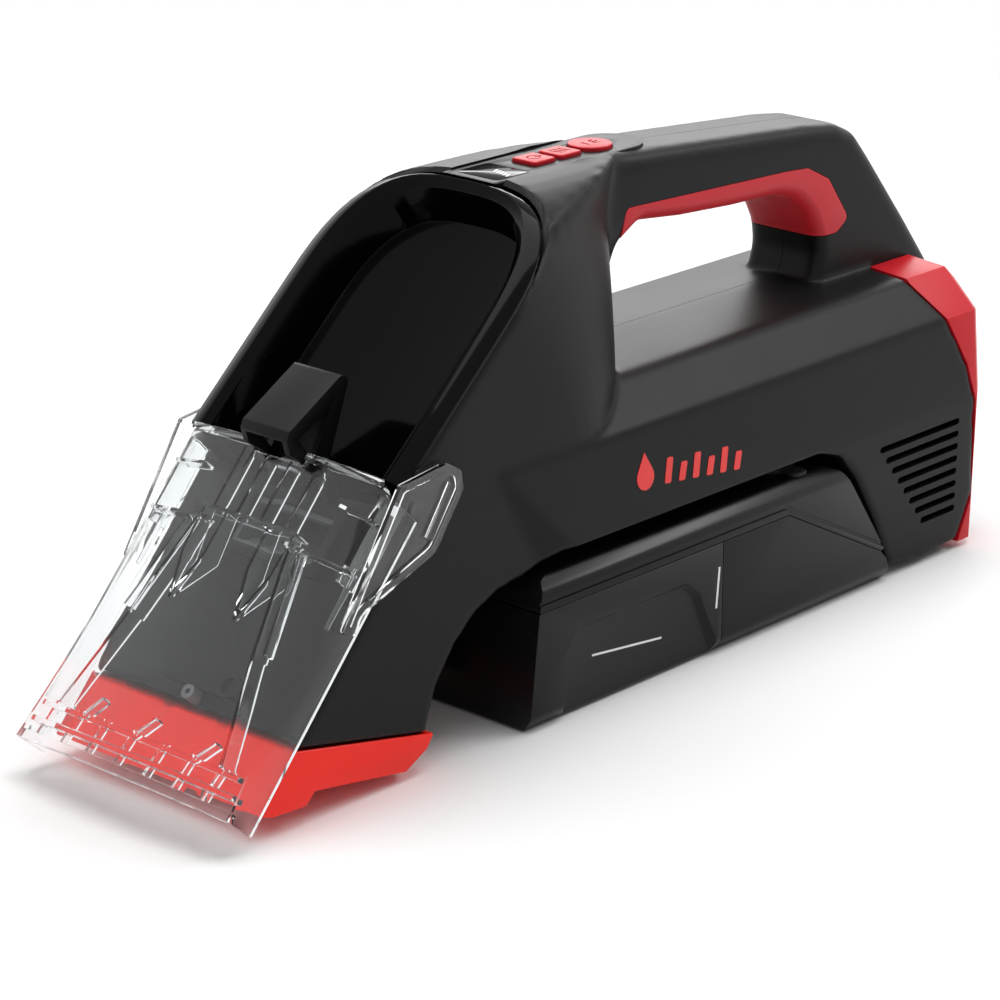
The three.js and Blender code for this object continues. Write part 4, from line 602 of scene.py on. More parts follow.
# ---- housing
@dataclass
class Housing:
    """The two satin black halves: lower body, cowl with its pillar, and the looped handle."""

    voxel: float = 1.1
    nose_section: Outline = ((50, 0), (50, 62), (50, 96), (48, 110.6), (0, 113))
    main_section: Outline = ((53, 0), (54, 62), (51, 96), (36, 110.6), (0, 113))
    underside: Outline = (
        (-119.4, 17.3), (-115, 30), (-106, 42), (-96, 50.5), (-84, 55.5), (-72, 57), (-54, 62),
        (87.4, 62), (99.7, 58), (110.8, 46), (122.6, 27), (133.9, 5.3), (154.2, 2.9),
    )
    trim_seam: Outline = ((178, 4.4), (187, 22), (185, 60), (180, 76), (168, 96), (161, 109), (161, 119))
    handle: Outline = (
        (-40, 150), (-30, 182.5), (0, 184), (45, 180.5), (126, 173.8), (142, 171.5), (153, 166.5),
        (162, 156.5), (187, 127), (204, 106), (199, 86), (-40, 86),
    )
    opening: Outline = (
        (3, 108), (5.5, 124), (9.5, 138), (15, 150), (26, 156), (50, 153.2), (80, 151.2), (105, 150.4),
        (116, 147.5), (124, 140), (129, 131), (130.5, 122), (126, 108),
    )
    section_radii: tuple[float, ...] = (4, 30, 3, 9, 60, 9, 3, 30, 4)
    handle_radii: tuple[float, ...] = (1, 12, 40, 60, 40, 14, 12, 20, 60, 4, 4, 1)
    opening_radii: tuple[float, ...] = (1, 30, 30, 8, 8, 60, 60, 20, 16, 12, 10, 12, 1)
    handle_half_width: float = 18.0
    handle_rounding: float = 7.0
    pillar_half: float = 50.2
    pillar_foot: float = 84.0
    panel_top: float = 90.8
    rim_start: float = 100.0
    ledge: Point = (-124.7, -132.8)  # front edge over the nose panel, where it begins and ends
    ledge_height: float = 9.2
    rim_depth: float = 4.3  # how far the pillar stays behind the rim's plane
    vent_count: int = 8
    vent_top: float = 54.2
    vent_pitch: float = 5.1
    vent_front: float = 124.0
    vent_slant: float = 4.1
    vent_rear: float = 175.0
    blend_passes: int = 60
    blend_gap: float = 12  # behind the rim's plane, left as it is
    blend_foot: float = 120
    blend_top: float = 181
    blend_rear: float = 26
    smooth_passes: int = 10
    kept_share: float = 0.42  # of the faces, after the voxels are evened out

    def station(self, section: Sequence[Point], base_x: float, lean: float, wall: float) -> list[Vector]:
        """One closed cross-section; lean tilts it forwards as it rises from the shoulder."""
        outline = mirrored(section)
        if wall:
            outline = inset(outline, wall)
        else:
            outline = rounded(outline, self.section_radii, 5)
        return [at(base_x - lean * (z - BAY_ROOF), y, z) for y, z in outline]

    def lower_body(self, wall: float) -> Piece:
        """Nose and main body with the slanted wedge between them, cut to the side view."""
        nose, main_part = self.nose_section, self.main_section
        places = ((nose, -219, 0), (nose, -65.4, 0.63), (main_part, -50, 0.94), (main_part, 206, 0))
        body = loft("lower_body", [self.station(*place, wall) for place in places])
        edge = PANEL_DEPTH + PLAY
        profile = [nozzle_at_height(27.5, edge), (-119.4, 14.3), *self.underside, *self.trim_seam]
        profile += [(-70, 119), on_plane(NOZZLE_ANGLE, -4, edge)]
        if wall:
            profile = inset(profile, wall)
            profile[0] = (profile[0][0] - 6, profile[0][1] - 4)
        else:
            profile = rounded(profile, 2.2, 3)
        return trim(body, prism("body_side", profile, side, -80, 80))

    def pillar_front(self, z: float, wall: float) -> float:
        """Front end of the pillar's section: nose panel, then a ledge, then the rim's plane."""
        if z < self.panel_top:
            return nozzle_at_height(z, PANEL_DEPTH + PLAY)[0]
        if z < self.rim_start:
            begin, end = self.ledge
            return begin + (z - self.panel_top) / self.ledge_height * (end - begin)
        depth = self.rim_depth if not wall else -8
        rise = z - RIM_FOOT[1] + depth * math.cos(RIM_ANGLE)
        return RIM_FOOT[0] + rise / math.tan(RIM_ANGLE) + depth * math.sin(RIM_ANGLE)

    def pillar_ring(self, z: float, wall: float) -> list[Vector]:
        """Horizontal section of cowl and front pillar at a height."""
        rise = (z - DECK_Z) / 42
        rear = 3 + 14 * rise - wall
        start = -57 - 22 * rise
        power = 2.5 - 0.8 * min(max(rise, 0), 1.2)
        half = self.pillar_half - wall
        above = (z - RIM_FOOT[1]) / math.sin(RIM_ANGLE) - ARCH_START
        arch = half
        if above > 0:
            arch = half * max(1 - (above / (RIM_CROWN - wall - ARCH_START)) ** 3, 0) ** (1 / 3)
        front = self.pillar_front(z, wall)
        near = []
        for i in range(9):
            near.append((front + (start - front) * i / 9, half))
        for i in range(17):
            angle = math.pi / 2 * i / 16
            back = (rear - start) * math.sin(angle) ** (2 / power)
            near.append((start + back, half * math.cos(angle) ** (2 / power)))
        near = [(x, max(min(y, arch), 0.35)) for x, y in near]
        return [at(x, y, z) for x, y in near + [(x, -y) for x, y in reversed(near)]]

    def pillar(self, wall: float) -> Piece:
        """Cowl and front pillar in one."""
        reach = RIM_CROWN - wall - ARCH_START
        levels = [self.pillar_foot + wall, self.panel_top, 95, self.rim_start, 106, 113, 120, 127, 134, 141]
        for i in range(12):
            angle = math.pi / 2 * (i + 0.2) / 11.3
            along = ARCH_START + reach * math.sin(angle) ** (2 / 3)
            levels.append(RIM_FOOT[1] + math.sin(RIM_ANGLE) * along)
        return loft("pillar", [self.pillar_ring(z, wall) for z in levels])

    def rounded_bar(self, name: str, outline: Sequence[Point], half: float, rounding: float) -> Piece:
        """A prism across the machine with round long edges; a negative rounding flares it."""
        rings = []
        steps = 5
        for i in range(steps + 1):
            angle = math.pi / 2 * i / steps
            y = half - abs(rounding) * (1 - math.sin(angle))
            shape = inset(outline, rounding * (1 - math.cos(angle)))
            rings.append([at(x, y, z) for x, z in shape])
        near = [[Vector((p.x, -p.y, p.z)) for p in ring] for ring in reversed(rings)]
        return loft(name, near + rings)

    def loop(self, depth: float = 0.0, flare: float = 6.0) -> Piece:
        """The handle's loop, or what is left of it under a pad of some depth."""
        half = self.handle_half_width - depth
        outline = inset(rounded(self.handle, self.handle_radii, 5), 0)
        bar = self.rounded_bar("handle_loop", outline, half, self.handle_rounding - depth)
        opening = inset(rounded(self.opening, self.opening_radii, 4), -depth)
        return cut(bar, self.rounded_bar("handle_opening", opening, half + 0.2, -flare))

    def skin(self) -> Piece:
        """The whole outer shape: three overlapping solids fused by a voxel remesh and evened out."""
        pieces = [self.lower_body(0), self.pillar(0), self.loop()]
        deselect()
        for piece in pieces:
            piece.select_set(True)
        bpy.context.view_layer.objects.active = pieces[0]
        bpy.ops.object.join()
        skin = bpy.context.object
        voxel = self.voxel * 1.0
        apply(skin, "REMESH", mode="VOXEL", voxel_size=voxel * MM, adaptivity=0)
        apply(skin, "SMOOTH", factor=0.5, iterations=self.smooth_passes)
        return self.blend_pillar(skin)

    def blend_pillar(self, skin: Piece) -> Piece:
        """Evens out the flow of the pillar into the handle, away from the rim and the deck."""
        group = skin.vertex_groups.new(name="blend")
        for vert in skin.data.vertices:
            x, z = vert.co.x / MM - DATUM_X, vert.co.z / MM
            behind = x - (RIM_FOOT[0] + (z - RIM_FOOT[1]) / math.tan(RIM_ANGLE)) - self.blend_gap
            above, below, before = z - self.blend_foot, self.blend_top - z, self.blend_rear - x
            share = min(behind / 10, above / 12, below / 3, before / 14, 1)
            if share > 0:
                group.add([vert.index], share, "REPLACE")
        return apply(skin, "SMOOTH", factor=0.5, iterations=self.blend_passes, vertex_group="blend")

    def vents(self) -> list[Piece]:
        """Cutters of the slots, which step back along a slant."""
        tools = []
        for i in range(self.vent_count):
            z = self.vent_top - i * self.vent_pitch
            front, rear = self.vent_front + i * self.vent_slant, self.vent_rear
            shape = capsule(((front + rear) / 2, z), rear - front, 1.3)
            tools.append(prism("vent", shape, side, -60, -49.6))
        return tools

    def build(self, palette: Palette) -> None:
        """Models both halves."""
        skin = self.skin()
        pick(skin)
        bpy.ops.object.mode_set(mode="EDIT")
        bpy.ops.mesh.select_all(action="SELECT")
        bpy.ops.mesh.bisect(plane_co=(0, -0.00012, 0), plane_no=(0, 1, 0), use_fill=True, clear_outer=True)
        bpy.ops.object.mode_set(mode="OBJECT")
        apply(skin, "DECIMATE", ratio=self.kept_share, use_collapse_triangulate=True)
        cut(skin, self.lower_body(SHELL), self.pillar(SHELL))
        self.openings(skin)
        far = mirror_copy(skin, "housing_shell_far")
        for node_name in ("screw_nose", "screw_cowl", "screw_deck", "screw_grip"):
            low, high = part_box(node_name)
            centre = (low + high) / 2
            start = Vector((centre.x, high.y - 0.0028, centre.z))
            cut(far, rod("counterbore", start, start + Vector((0, 0.03, 0)), 3.3, 20))
        skin.name = "housing_shell_near"
        for piece, name in ((skin, "housing_near"), (far, "housing_far")):
            smooth(piece, 38)
            deliver(palette, piece, Paint.SATIN_BLACK, "machine", [name])

    def openings(self, skin: Piece) -> None:
        """Cuts the seats of cowl, grip, panel and ports and the vents into the near half."""
        grip = Grip()
        seat = prism("grip_seat", rounded(inset(grip.region, -0.25), 3, 3), side, -40, 40)
        cut(seat, self.loop(grip.thickness + PLAY, grip.flare))
        cowl = Cowl()
        trough = prism("cowl_seat", cowl.arch(42.8, cowl.crown - 4.6, -30), rim, -12, cowl.depth + 2.9)
        panel = Controls()
        pocket = prism("panel_seat", panel.outline(0.25), plan, 174, 190)
        ports = [
            block("suction_seat", (-46.3, -25.7), (-20.3, 20.3), (53, 71)),
            block("air_seat", (1.7, 22.3), (-14.3, 14.3), (53, 71)),
        ]
        front = prism("rim_seat", rect((-70, 70), (-1.5, 150)), rim, -60, 4.2)
        duct = prism("duct_seat", rect((-20.4, 20.4), (-13.6, -32.4)), nozzle, 10, 40)
        cut(skin, front, duct, seat, trough, pocket, *ports, *self.vents())


# ---- grip
@dataclass
class Grip:
    """Soft red pad round the handle's underside and the front of the rear pillar."""

    thickness: float = 3.0
    flare: float = 4.0
    region: Outline = (
        (17, 163), (14, 153), (40, 140), (112, 132), (118, 130), (140, 130), (147, 134.5), (134, 152),
        (121, 158.5), (108, 159.5),
    )

    def build(self, palette: Palette, housing: Housing) -> None:
        """Models the pad between the loop's outside and its core."""
        pad = housing.loop()
        pad.name = "soft_grip"
        core = housing.loop(self.thickness, self.flare)
        trim(pad, prism("grip_region", rounded(self.region, 3, 4), side, -40, 40))
        cut(pad, core)
        round_off(pad, 0.8, 3, 38, 40)
        deliver(palette, pad, Paint.SOFT_RED, "machine", ["grip_pad"])


# ---- cowl
@dataclass
class Cowl:
    """Gloss black front: raised arched rim round a sloping trough."""

    outer: float = 50.4
    ridge: float = 44.3
    inner: float = 40.6
    floor: float = 37.5
    depth: float = 17.0
    crown: float = RIM_CROWN
    steps: int = 16

    def half_arch(self, half: float, crown: float, foot: float) -> list[Point]:
        """From the near foot up to the crown."""
        points = [(half, foot), (half, foot + (ARCH_START - foot) * 0.5)]
        for i in range(self.steps + 1):
            angle = math.pi / 2 * i / self.steps
            lift = math.sin(angle) ** (2 / 3)
            points.append((half * math.cos(angle) ** (2 / 3), ARCH_START + (crown - ARCH_START) * lift))
        return points

    def arch(self, half: float, crown: float, foot: float) -> list[Point]:
        """Closed outline of an arch."""
        near = self.half_arch(half, crown, foot)
        return near + [(-y, v) for y, v in reversed(near[:-1])]

    def rim_band(self) -> Piece:
        """The raised rim and the trough's wall, swept along the arch."""
        lines = [
            (self.outer, self.crown, 4.0),
            (self.outer, self.crown, 2.6),
            (self.outer - 0.5, self.crown - 0.2, 2.0),
            (self.ridge + 0.5, self.crown - 1.5, 0.15),
            (self.ridge - 0.3, self.crown - 1.9, 0.0),
            (self.inner + 0.6, self.crown - 4.6, 1.5),
            (self.inner, self.crown - 5.4, 2.4),
            (self.floor, self.crown - 9.0, self.depth),
            (self.floor, self.crown - 9.0, self.depth + 2.4),
            (42.4, self.crown - 5.0, self.depth + 2.4),
            (42.4, self.crown - 5.0, 4.0),
        ]
        arches = [self.half_arch(half, crown, -0.2) for half, crown, _ in lines]
        rings = []
        for i in range(len(arches[0])):
            rings.append([rim(arch[i][0], arch[i][1], line[2]) for arch, line in zip(arches, lines)])
        last = [[Vector((p.x, -p.y, p.z)) for p in ring] for ring in reversed(rings[:-1])]
        return loft("cowl_rim", rings + last)

    def build(self, palette: Palette) -> None:
        """Models rim and trough floor as one piece."""
        band = self.rim_band()
        plate = prism(
            "trough_floor", self.arch(self.floor + 2, self.crown - 7, -0.2), rim, self.depth, self.depth + 2.4
        )
        join(band, plate)
        band.name = "cowl_trough"
        round_off(band, 0.35, 2, 40, 32)
        deliver(palette, band, Paint.GLOSS_BLACK, "machine", ["front_cowl"])


# ---- nose
@dataclass
class Nose:
    """Front panel behind the clear nozzle with port, spray boss and brackets, and the red foot."""

    half_width: float = 47.2
    plate_depth: Point = (16.0, 18.5)
    port_frame: tuple[Point, Point] = ((-24, 24), (-10, -36))
    port: tuple[Point, Point] = ((-20, 20), (-14, -32))
    boss_v: float = -79.5
    boss_size: Point = (37, 4.2)  # length and radius
    boss_height: float = 3.4
    jet_place: float = -14
    jet_radius: float = 2.9
    bracket_sides: Point = (-14.6, 11.6)
    foot_half: float = 50.0

    def panel(self) -> Piece:
        """The plate with port, spray boss and latch brackets."""
        near, far = self.plate_depth
        outline = [
            on_plane(NOZZLE_ANGLE, -6, near), nozzle_at_height(30.6, near), nozzle_at_height(30.6, far),
            on_plane(NOZZLE_ANGLE, -6, far),
        ]
        plate = prism("nose_panel", outline, side, -self.half_width, self.half_width)
        frame_outline = rounded(rect(*self.port_frame), 3)
        join(plate, prism("port_frame", frame_outline, nozzle, near - 2.2, near + 0.4))
        port = rounded(rect(*self.port), 2)
        cut(plate, prism("port", port, nozzle, near - 6, near + 6))
        boss = capsule((0, self.boss_v), *self.boss_size)
        join(plate, prism("spray_boss", boss, nozzle, near - self.boss_height, near + 0.4))
        recess = circle(self.jet_radius, 24, (self.jet_place, self.boss_v))
        cut(plate, prism("spray_recess", recess, nozzle, near - 5, near - 1.6))
        for y in self.bracket_sides:
            ear = [
                (-132.7, 101.6), (-127.8, 101.8), on_plane(NOZZLE_ANGLE, -5.6, near + 1),
                on_plane(NOZZLE_ANGLE, -12, near + 1),
            ]
            join(plate, prism("latch_bracket", ear, side, y, y + 3))
        return plate

    def foot(self) -> Piece:
        """Red cup that closes the nose from below, with a stepped upper edge."""
        outline = [
            nozzle_at_height(27.0, PANEL_DEPTH), nozzle_at_height(9, PANEL_DEPTH + PLAY), (-191.3, 7.2),
            (-176.5, 6.2), (-172.3, 10.2), (-130, 3.3), (-119.8, 8.4), (-116.4, 13.3), (-119.6, 14.0),
        ]
        foot = prism("red_foot", outline, side, -self.foot_half, self.foot_half)
        pocket = inset(outline, SHELL)
        pocket[0] = (pocket[0][0] + 7, pocket[0][1] + 14)
        pocket[-1] = (-125, 28)
        pocket[-2] = (-123, 15)
        cut(foot, prism("foot_pocket", pocket, side, -self.foot_half + SHELL, self.foot_half - SHELL))
        return foot

    def build(self, palette: Palette) -> None:
        """Models panel and foot."""
        plate = self.panel()
        round_off(plate, 0.4, merge=False)
        deliver(palette, plate, Paint.PANEL_BLACK, "machine", ["front_panel"])
        foot = self.foot()
        round_off(foot, 0.9, 3, merge=False)
        deliver(palette, foot, Paint.FOOT_RED, "machine", ["nose_foot"])


# ---- clear nozzle
@dataclass
class ClearNozzle:
    """Clear suction nozzle: bowed front, flared sides, ears, ribs and layered lip."""

    lip: float = -122.2
    wall: float = 1.9
    bow: float = 3.7
    rear_half: float = 51.0
    rear_depth: float = 15.3
    ear_inner: float = 50.9
    ear_outer: float = 52.9
    stations: tuple[float, ...] = (0.0, -25.0, -50.0, -75.0, -92.0, -106.0, -116.0, -122.2)
    fin_rows: tuple[tuple[float, float, float], ...] = ((-27, 6.2, 6.5), (-44, 5.6, 9.5), (-61, 0.5, 2.2))
    fin_space_rows: tuple[tuple[float, float, float], ...] = ((-20, 5.2, 20), (-43, 4.6, 20), (-57, 0.3, 20))
    side_ribs: tuple[tuple[Point, Point, Point, float], ...] = (  # start, end, depths and thickness
        ((21.5, -30), (29.5, -70), (0.8, 9.5), 1.3),
        ((29.3, -69), (39, -107), (0.8, 8.5), 1.3),
        ((26.2, -32), (33.5, -68), (0.8, 6.0), 1.1),
        ((32, -13), (46.5, -14.5), (0.8, 7.0), 1.2),
        ((18, -31), (46.5, -32.5), (0.8, 7.0), 1.2),
        ((44.3, -5), (44.6, -37), (1.0, 10.5), 1.4),
    )

    def front_half(self, v: float) -> float:
        """Half width of the front sheet at a place along it."""
        flare = max((-v - 70) / 52.2, 0.0)
        return 45.4 + 1.0 * min(-v / 70, 1.0) + 4.6 * flare**1.4

    def front_depth(self, y: float, v: float) -> float:
        """Depth of the bowed front sheet, less than 0 in the middle."""
        return -self.bow * max(1 - (y / self.front_half(v)) ** 2, 0)

    def half_wall(self, v: float, shift: float) -> list[Point]:
        """Half a section from the side's rear edge to the middle, moved inwards by a shift."""
        front = self.front_half(v)
        points = [(self.rear_half - shift, self.rear_depth), (self.rear_half - shift, 8.0)]
        points += [
            (front + 0.9 - shift * 0.9, 1.6 + shift * 0.5),
            (front - 0.8 - shift * 0.55, 0.1 + shift * 0.9),
        ]
        for i in range(1, 9):
            y = (front - 2.5) * (1 - i / 8)
            points.append((y, self.front_depth(y, v) + shift))
        return points

    def sheet(self) -> Piece:
        """Front and sides in one bent sheet."""
        rings = []
        for v in self.stations:
            outer, inner = self.half_wall(v, 0), self.half_wall(v, self.wall)
            loop = outer + [(-y, d) for y, d in reversed(outer[:-1])]
            back = inner + [(-y, d) for y, d in reversed(inner[:-1])]
            rings.append([nozzle(y, v, d) for y, d in loop + back[::-1]])
        return loft("clear_shell", rings)

    def bar(self, name: str, v: Point, depth: Point, half: float) -> Piece:
        """A bar across the nozzle that follows the front's bow; depths count from the front sheet."""
        rings = []
        for i in range(13):
            y = half * (i / 6 - 1)
            base = self.front_depth(y, v[0])
            rings.append([nozzle(y, along, base + deep) for along, deep in rect(v, depth)])
        return loft(name, rings)

    def rib(self, start: Point, end: Point, depth: Point, thickness: float = 1.2) -> Piece:
        """An upright rib between two places on the front sheet, in y and v."""
        along = Vector((end[0] - start[0], end[1] - start[1])).normalized()
        across = Vector((-along.y, along.x)) * thickness / 2
        rings = []
        for (y, v) in (start, end):
            corners = [(y - across.x, v - across.y), (y + across.x, v + across.y)]
            ring = [nozzle(a, b, self.front_depth(y, v) + depth[0]) for a, b in corners]
            ring += [nozzle(a, b, self.front_depth(y, v) + depth[1]) for a, b in reversed(corners)]
            rings.append(ring)
        return loft("rib", rings)

    def wedge(
        self, name: str, centre: float, rows: Sequence[tuple[float, float, float]], lift: float, taper: float
    ) -> Piece:
        """A solid behind the front sheet; each row gives its place, half width and depth."""
        rings = []
        for v, half, deep in rows:
            base = self.front_depth(centre, v) + lift
            corners = [(-half, 0), (half, 0), (half * taper, deep), (-half * taper, deep)]
            rings.append([nozzle(centre + y, v, base + d) for y, d in corners])
        return loft(name, rings)

    def fin(self, centre: float) -> Piece:
        """A pointed fin: a hollow plate that narrows downwards and leans back."""
        solid = self.wedge("fin", centre, self.fin_rows, 0.9, 0.9)
        return cut(solid, self.wedge("fin_space", centre, self.fin_space_rows, 2.0, 1.0))

    def ear(self, sign: int) -> Piece:
        """Side plate that grips the cowl: thick border, sunk field and an upright bar."""
        low, high = self.ear_inner, self.ear_outer
        outline = [
            (-134.2, 105.9), (-112.5, 108.4), (-106.0, 104.5), (-104.8, 98.0), (-118.5, 79), (-153, 66.6),
            nozzle_at_height(60, 13), nozzle_at_height(63, 6.5),
        ]
        field_outline = rounded(inset(outline, 2.8), [1, 3, 2.5, 2, 6, 3, 1, 1], 3)
        plate = prism("ear", rounded(outline, [1, 5, 5, 4, 9, 6, 2, 2], 4), side, sign * low, sign * high)
        cut(plate, prism("ear_field", field_outline, side, sign * (low + 0.9), sign * (high + 1)))
        bar = [(-111.5, 101.6), (-108.6, 99.6), (-119.8, 83.2), (-122.6, 85.2)]
        join(plate, prism("ear_bar", bar, side, sign * (low + 0.4), sign * (high - 0.1)))
        return plate

    def ribs(self) -> list[Piece]:
        """Everything that stands on the inside of the front sheet."""
        pieces = [self.rib((y, -3.5), (y, -27), (0.6, 7.5)) for y in (-17, -5.5, 5.5, 17)]
        pieces.append(self.rib((-22, -27), (22, -27), (0.6, 9.0), 1.3))
        pieces += [self.fin(y) for y in (-15.5, 15.5)]
        for s in (-1, 1):
            for (y0, v0), (y1, v1), depth, thickness in self.side_ribs:
                pieces.append(self.rib((s * y0, v0), (s * y1, v1), depth, thickness))
            top, foot = nozzle(s * 44.5, -30, 7.5), nozzle(s * 44.9, -52, 7.5)
            pieces.append(rod("guide_pin", top, foot, 1.2, 12, 0.7))
        return pieces

    def lip_bars(self) -> list[Piece]:
        """Layered lip at the foot of the nozzle, with hooks between the layers."""
        pieces = [
            self.bar("lip_edge", (self.lip, self.lip + 3.2), (0.2, 5.0), 49.8),
            self.bar("lip_step", (-115.4, -113.6), (0.9, 6.4), 48.2),
            self.bar("lip_rail", (-109.2, -107.4), (0.9, 4.6), 46.8),
        ]
        for y in (-40, -27, -14, 0, 14, 27, 40):
            pieces.append(self.rib((y, -106.5), (y + 1.5, -120.5), (0.9, 4.8), 1.3))
        for y in (-33, -6, 20):
            pieces.append(self.rib((y, -100.5), (y + 5.5, -108.4), (0.9, 5.6), 1.6))
        return pieces

    def build(self, palette: Palette) -> None:
        """Models the nozzle as one clear moulding."""
        shell = self.sheet()
        join(shell, self.ear(-1), self.ear(1), self.bar("top_edge", (-2.6, -0.4), (-1.1, 3.4), 45.2))
        join(shell, *self.lip_bars(), *self.ribs())
        latch = Latch()
        space = prism(
            "latch_space", inset(latch.outline, -0.8), side, -latch.half_width - 0.8, latch.half_width + 0.8
        )
        cut(shell, space)
        cut(shell, prism("latch_notch", [(-12.4, 4), (12.4, 4), (11.8, -3.0), (-11.8, -3.0)], nozzle, -9, 12))
        clearance = [
            on_plane(RIM_ANGLE, -0.5, -0.5), on_plane(RIM_ANGLE, -4.7, 4.3),
            on_plane(NOZZLE_ANGLE, -6.5, 15.9), (-100, 80), (-60, 84), on_plane(RIM_ANGLE, 40, -0.5),
        ]
        cut(shell, prism("cowl_space", clearance, side, -50.75, 50.75))
        shell.name = "clear_nozzle_moulding"
        round_off(shell, 0.28, 2, 40, 36)
        deliver(palette, shell, Paint.CLEAR, "nozzle", ["clear_nozzle"])


# ---- latch
@dataclass
class Latch:
    """Black lever that holds the nozzle: a sloping thumb plate on two triangular legs, open at the front."""

    half_width: float = 11.0
    leg: float = 2.4
    pivot: Point = (-130.2, 99.2)
    window: Outline = ((-139.6, 113.4), (-122.6, 123.2), (-133.0, 105.2))
    mouth: Outline = ((-150, 101), (-150, 113.4), (-139.6, 113.8), (-124.0, 122.4), (-130.5, 100.8))
    outline: Outline = (
        (-143.2, 109.0), (-144.8, 114.4), (-143.6, 117.2), (-119, 131.4), (-115.6, 129.4), (-127.2, 98.2),
        (-130.2, 96.2), (-133.2, 99.7), (-137.6, 105.4),
    )

    def build(self, palette: Palette) -> None:
        """Models the lever."""
        w = self.half_width
        lever = prism(
            "latch_lever", rounded(self.outline, [1, 1.5, 1.5, 2.2, 2.2, 2, 2, 2, 1], 4), side, -w, w
        )
        cut(lever, prism("latch_window", rounded(self.window, 1.0, 4), side, -w - 5, w + 5))
        cut(lever, prism("latch_mouth", self.mouth, side, -w + self.leg, w - self.leg))
        pivot = side(*self.pivot, 0)
        span = Vector((0, 0.03, 0))
        cut(lever, rod("latch_bore", pivot - span, pivot + span, 1.7, 20))
        round_off(lever, 0.7, 3, 30, merge=False)
        deliver(palette, lever, Paint.SATIN_BLACK, "latch", ["nozzle_latch"])


# ---- controls
@dataclass
class Controls:
    """Panel on the crown with battery display and three red keys."""

    front: float = -47.0
    rear: float = 27.0
    half_width: float = 12.5
    top: float = 182.6
    height: float = 7.0
    square_half: float = 5.6
    round_radius: float = 8.0
    key_rise: float = 1.3
    key_sink: float = 3.2
    window: tuple[Point, Point] = ((-42, -25), (-10, 10))
    bar_count: int = 5
    bar_pitch: float = 1.9
    keys: tuple[tuple[str, str, float], ...] = (
        ("power_key", "power_button", -12.5), ("suction_key", "suction_button", 1.2),
        ("spray_key", "spray_button", 17.2),
    )

    def outline(self, extra: float) -> list[Point]:
        """Plan of the panel: square at the front, round at the rear."""
        r = self.half_width + extra
        points = [(self.front - extra, r), (self.front - extra, -r)]
        for i in range(17):
            angle = -math.pi / 2 + math.pi * i / 16
            points.append((self.rear + r * math.cos(angle), r * math.sin(angle)))
        return points

    def key_outline(self, name: str, x: float, extra: float) -> list[Point]:
        """Plan of a key."""
        if name == "spray_key":
            return circle(self.round_radius + extra, 40, (x, 0))
        h = self.square_half + extra
        return rounded(rect((x - h, x + h), (-h, h)), 1.4, 4)

    def icons(self, name: str, x: float) -> list[Piece]:
        """Sunk signs on a key, as cutters: a ring with a bar, three waves, or a fan of drops."""
        low, high = self.top + 1.0, self.top + 2
        if name == "power_key":
            ring = prism("sign", circle(2.6, 28, (x, 0)), plan, low, high)
            cut(ring, prism("sign_core", circle(1.9, 28, (x, 0)), plan, low - 1, high + 1))
            return [ring, prism("sign_bar", capsule((x + 2.2, 0), 3.4, 0.4), plan, low, high)]
        if name == "suction_key":
            waves = [capsule((x + shift, 0), 5.6, 0.45, math.pi / 2 + 0.25) for shift in (-2.2, 0, 2.2)]
            return [prism("sign", wave, plan, low, high) for wave in waves]
        tools = [prism("sign", capsule((x - 2.4, 0), 4.4, 0.5, math.pi / 2), plan, low, high)]
        for turn in (-0.5, 0, 0.5):
            centre = (x + 2.2 * math.cos(turn), 3.4 * math.sin(turn))
            tools.append(prism("sign", capsule(centre, 3.4, 0.45, turn), plan, low, high))
        return tools

    def build(self, palette: Palette) -> None:
        """Models panel, display and keys."""
        bottom = self.top - self.height
        panel = prism("crown_panel", self.outline(0), plan, bottom, self.top)
        edge = Cowl()
        clearance = prism("cowl_clearance", edge.arch(edge.outer + 0.3, edge.crown + 0.3, -30), rim, -20, 4.3)
        well = prism("cowl_clearance", edge.arch(42.8, edge.crown - 4.6, -30), rim, -12, edge.depth + 2.8)
        cut(panel, clearance, well)
        window = rounded(rect(*self.window), 2.5, 4)
        cut(panel, prism("window_seat", window, plan, self.top - 0.9, self.top + 1))
        for name, _, x in self.keys:
            cut(panel, prism("key_hole", self.key_outline(name, x, 0.35), plan, bottom - 2, self.top + 2))
        round_off(panel, 0.3)
        deliver(palette, panel, Paint.SATIN_BLACK, "machine", ["control_panel"])
        glass = prism("battery_display", inset(window, 0.15), plan, self.top - 0.8, self.top + 0.05)
        round_off(glass, 0.2, merge=False)
        deliver(palette, glass, Paint.GLOSS_BLACK, "machine", ["display_window"])
        for i in range(self.bar_count):
            shape = capsule((-34 + i * 0.5, -7.6 + i * self.bar_pitch), 3.6, 0.5, 0.35)
            mark = prism(f"battery_bar_{i + 1}", shape, plan, self.top, self.top + 0.14)
            deliver(palette, mark, Paint.MARK_WHITE, "machine")
        for name, cad_name, x in self.keys:
            key = prism(
                f"{name}_cap", self.key_outline(name, x, 0), plan, self.top - self.key_sink,
                self.top + self.key_rise
            )
            soften(key, 0.5, 3)
            cut(key, *self.icons(name, x))
            smooth(key)
            deliver(palette, key, Paint.RED, name, [cad_name])


